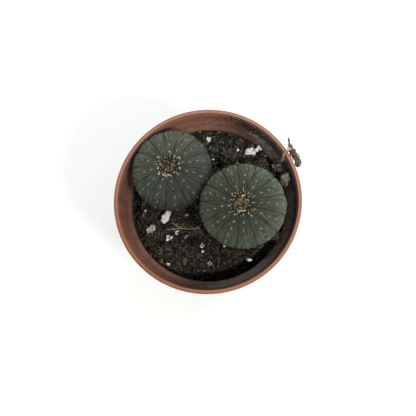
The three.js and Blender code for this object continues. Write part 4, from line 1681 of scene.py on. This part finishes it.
    def spill_crumbs(self, settings, rng):
        """Loose crumbs in the gap between the root ball and the wall, deepest at the front."""
        stamps = [crumb_stamp(160 + i, 1) for i in range(5)]
        fibres = [fibre_stamp(170 + i) for i in range(4)]
        heap = Heap()
        for i in range(settings.spilled):
            degrees = rng.uniform(0, 360)
            radius = rng.uniform(soil_edge(degrees) - 0.5, SOIL_RADIUS)
            size = rng.uniform(0.2, 0.48)
            sunk = 2.9 * facing(degrees, -78, 34) + 0.8 * facing(degrees, 175, 14)
            place = polar(radius, degrees, 43.0 - sunk - 0.4 * rng.random() - 0.5 * size)
            tilt = Euler((rng.uniform(-0.6, 0.6), rng.uniform(-0.6, 0.6), any_yaw(rng)))
            shape = Vector((size, size * rng.uniform(0.6, 1.0), size * 0.7))
            shaded = smooth(sunk, 0.2, 1.0)
            tint = rng.random() ** 1.6 * (1 - 0.5 * shaded) + 0.12 * shaded
            heap.add(rng.choice(stamps), Matrix.LocRotScale(place, tilt, shape), tint)
            if i % 4 == 0 and sunk < 0.5:
                shape = Vector((rng.uniform(0.7, 1.4), 2.0, 2.0))
                place.z += 0.4
                heap.add(rng.choice(fibres), Matrix.LocRotScale(place, tilt, shape), rng.random())
        finish = tinted_finish("peat_spilled", PEAT_TONES, 0.9, 2.5, 0.7, 0.15)
        heap.finish("spilled_crumbs", finish, "peat")

    def soil_the_collar(self, settings, rng):
        """Peat crumbs and a few white specks that stuck to the wall above the soil."""
        wall = Surface("pot_shell")
        stamps = [crumb_stamp(80 + i, 1, 0.6) for i in range(6)]
        fibres = [fibre_stamp(90 + i) for i in range(4)]
        heap = Heap()
        for i in range(settings.wall_crumbs):
            gathered = i % 9 < 4
            degrees = rng.gauss(55, 15) if gathered else rng.uniform(0, 360)
            height = rng.uniform(44.2, 49.0) if gathered else 43.6 + 4.5 * rng.random() ** 2
            if i % 9 > 5:
                degrees = rng.uniform(-15, 62)
                height = rng.uniform(43.7, 45.6)
            middle = Vector((0, 0, height))
            found, normal, _, _ = wall.tree.ray_cast(middle, polar(1, degrees))
            if found is None:
                continue
            size = rng.uniform(0.07, 0.26) if gathered else rng.uniform(0.05, 0.16)
            where = lie(found, normal, any_yaw(rng), (size, size * 1.2, size), size * 0.1)
            white = gathered and rng.random() < 0.045
            heap.add(rng.choice(stamps), where, 1.0 if white else 0.5 * rng.random())
            if i % 6 == 0:
                where = lie(found, normal, any_yaw(rng), (rng.uniform(0.6, 1.3), 2.0, 2.0))
                heap.add(rng.choice(fibres), where, 0.6 * rng.random())
        tones = (
            (0.0, 22, 19, 16), (0.6, 66, 55, 44), (0.9, 110, 98, 84), (1.0, 196, 190, 182),
        )
        finish = tinted_finish("collar_dirt", tones, 0.9, 3.0, 0.5)
        heap.finish("collar_dirt", finish, "peat")


# Stage


class CACTUS_OT_stage(bpy.types.Operator):
    """Set the floor, the lights and the camera"""

    bl_idname = "cactus.stage"
    bl_label = "Stage"

    def execute(self, context):
        settings = context.scene.cactus_stage
        scene = context.scene
        bm = bmesh.new()
        bmesh.ops.create_grid(bm, x_segments=8, y_segments=8, size=3.0)
        bmesh.ops.translate(bm, verts=bm.verts, vec=(0, 0, -0.00005))
        mesh = bpy.data.meshes.new("floor")
        bm.to_mesh(mesh)
        bm.free()
        mesh.materials.append(floor_finish(settings))
        floor = bpy.data.objects.new("floor", mesh)
        scene.collection.objects.link(floor)

        # The main light stands to the right and in front, and a broad soft one behind and to the right
        warm = (1.0, 0.985, 0.96)
        white = (1.0, 1.0, 1.0)
        self.hang(scene, "key_light", -40, 52, settings.key_level, settings.key_size, warm)
        self.hang(scene, "soft_light", 50, 35, settings.soft_level, settings.soft_size, white)

        world = bpy.data.worlds.new("studio")
        world.use_nodes = True
        world.node_tree.nodes["Background"].inputs["Color"].default_value = (0.97, 0.985, 1.0, 1.0)
        world.node_tree.nodes["Background"].inputs["Strength"].default_value = settings.fill_level
        scene.world = world

        # The camera looks down from the front, a little to the right, with the back of the pot up
        lens = bpy.data.cameras.new("camera")
        lens.lens = 68.52
        lens.sensor_width = 36.0
        lens.clip_start = 0.01
        lens.clip_end = 20.0
        camera = bpy.data.objects.new("camera", lens)
        stand = Vector((13.27, -48.38, 275.01)) * MM
        target = Vector((0.21, -2.55, 50.0)) * MM
        back = (stand - target).normalized()
        right = Vector((0, 1, 0)).cross(back).normalized()
        up = back.cross(right)
        turn = Matrix((right, up, back)).transposed()
        camera.matrix_world = Matrix.LocRotScale(stand, turn.to_quaternion(), None)
        scene.collection.objects.link(camera)
        scene.camera = camera
        scene.view_settings.view_transform = "Standard"
        return {"FINISHED"}

    def hang(self, scene, name, azimuth, elevation, level, size, colour):
        """Hangs a round light that faces the pot, by its azimuth from +X and its elevation."""
        light = bpy.data.lights.new(name, "AREA")
        light.shape = "DISK"
        light.size = size
        light.energy = level
        light.color = colour
        lamp = bpy.data.objects.new(name, light)
        high = math.radians(elevation)
        way = polar(math.cos(high), azimuth, math.sin(high))
        distance = 0.6
        stand = Vector((0, 0, 0.045)) + way * distance
        lamp.matrix_world = Matrix.LocRotScale(stand, way.to_track_quat("Z", "Y"), None)
        scene.collection.objects.link(lamp)


STEPS = (
    CACTUS_OT_pot,
    CACTUS_OT_soil,
    CACTUS_OT_bodies,
    CACTUS_OT_areoles,
    CACTUS_OT_perlite,
    CACTUS_OT_grit,
    CACTUS_OT_tangles,
    CACTUS_OT_litter,
    CACTUS_OT_stage,
)


class CACTUS_PT_pieces(bpy.types.Panel):
    bl_idname = "CACTUS_PT_pieces"
    bl_label = "Potted Frailea"
    bl_space_type = "VIEW_3D"
    bl_region_type = "UI"
    bl_category = "Cactus"

    def draw(self, context):
        for step in STEPS:
            self.layout.operator(step.bl_idname)
        for name in GROUPS:
            group = getattr(context.scene, name)
            box = self.layout.box()
            for setting in group.bl_rna.properties.keys():
                if setting not in ("rna_type", "name"):
                    box.prop(group, setting)


GROUPS = {
    "cactus_pot": PotSettings,
    "cactus_soil": SoilSettings,
    "cactus_plants": CactusSettings,
    "cactus_lumps": LumpSettings,
    "cactus_stage": StageSettings,
}
CLASSES = (*GROUPS.values(), *STEPS, CACTUS_PT_pieces)


def register():
    for cls in CLASSES:
        bpy.utils.register_class(cls)
    for name, group in GROUPS.items():
        setattr(bpy.types.Scene, name, bpy.props.PointerProperty(type=group))


def unregister():
    for name in GROUPS:
        delattr(bpy.types.Scene, name)
    for cls in reversed(CLASSES):
        bpy.utils.unregister_class(cls)


def main():
    register()
    bpy.ops.cactus.pot()
    bpy.ops.cactus.soil()
    bpy.ops.cactus.bodies()
    bpy.ops.cactus.areoles()
    bpy.ops.cactus.perlite()
    bpy.ops.cactus.grit()
    bpy.ops.cactus.tangles()
    bpy.ops.cactus.litter()
    bpy.ops.cactus.stage()


if __name__ == "__main__":
    main()
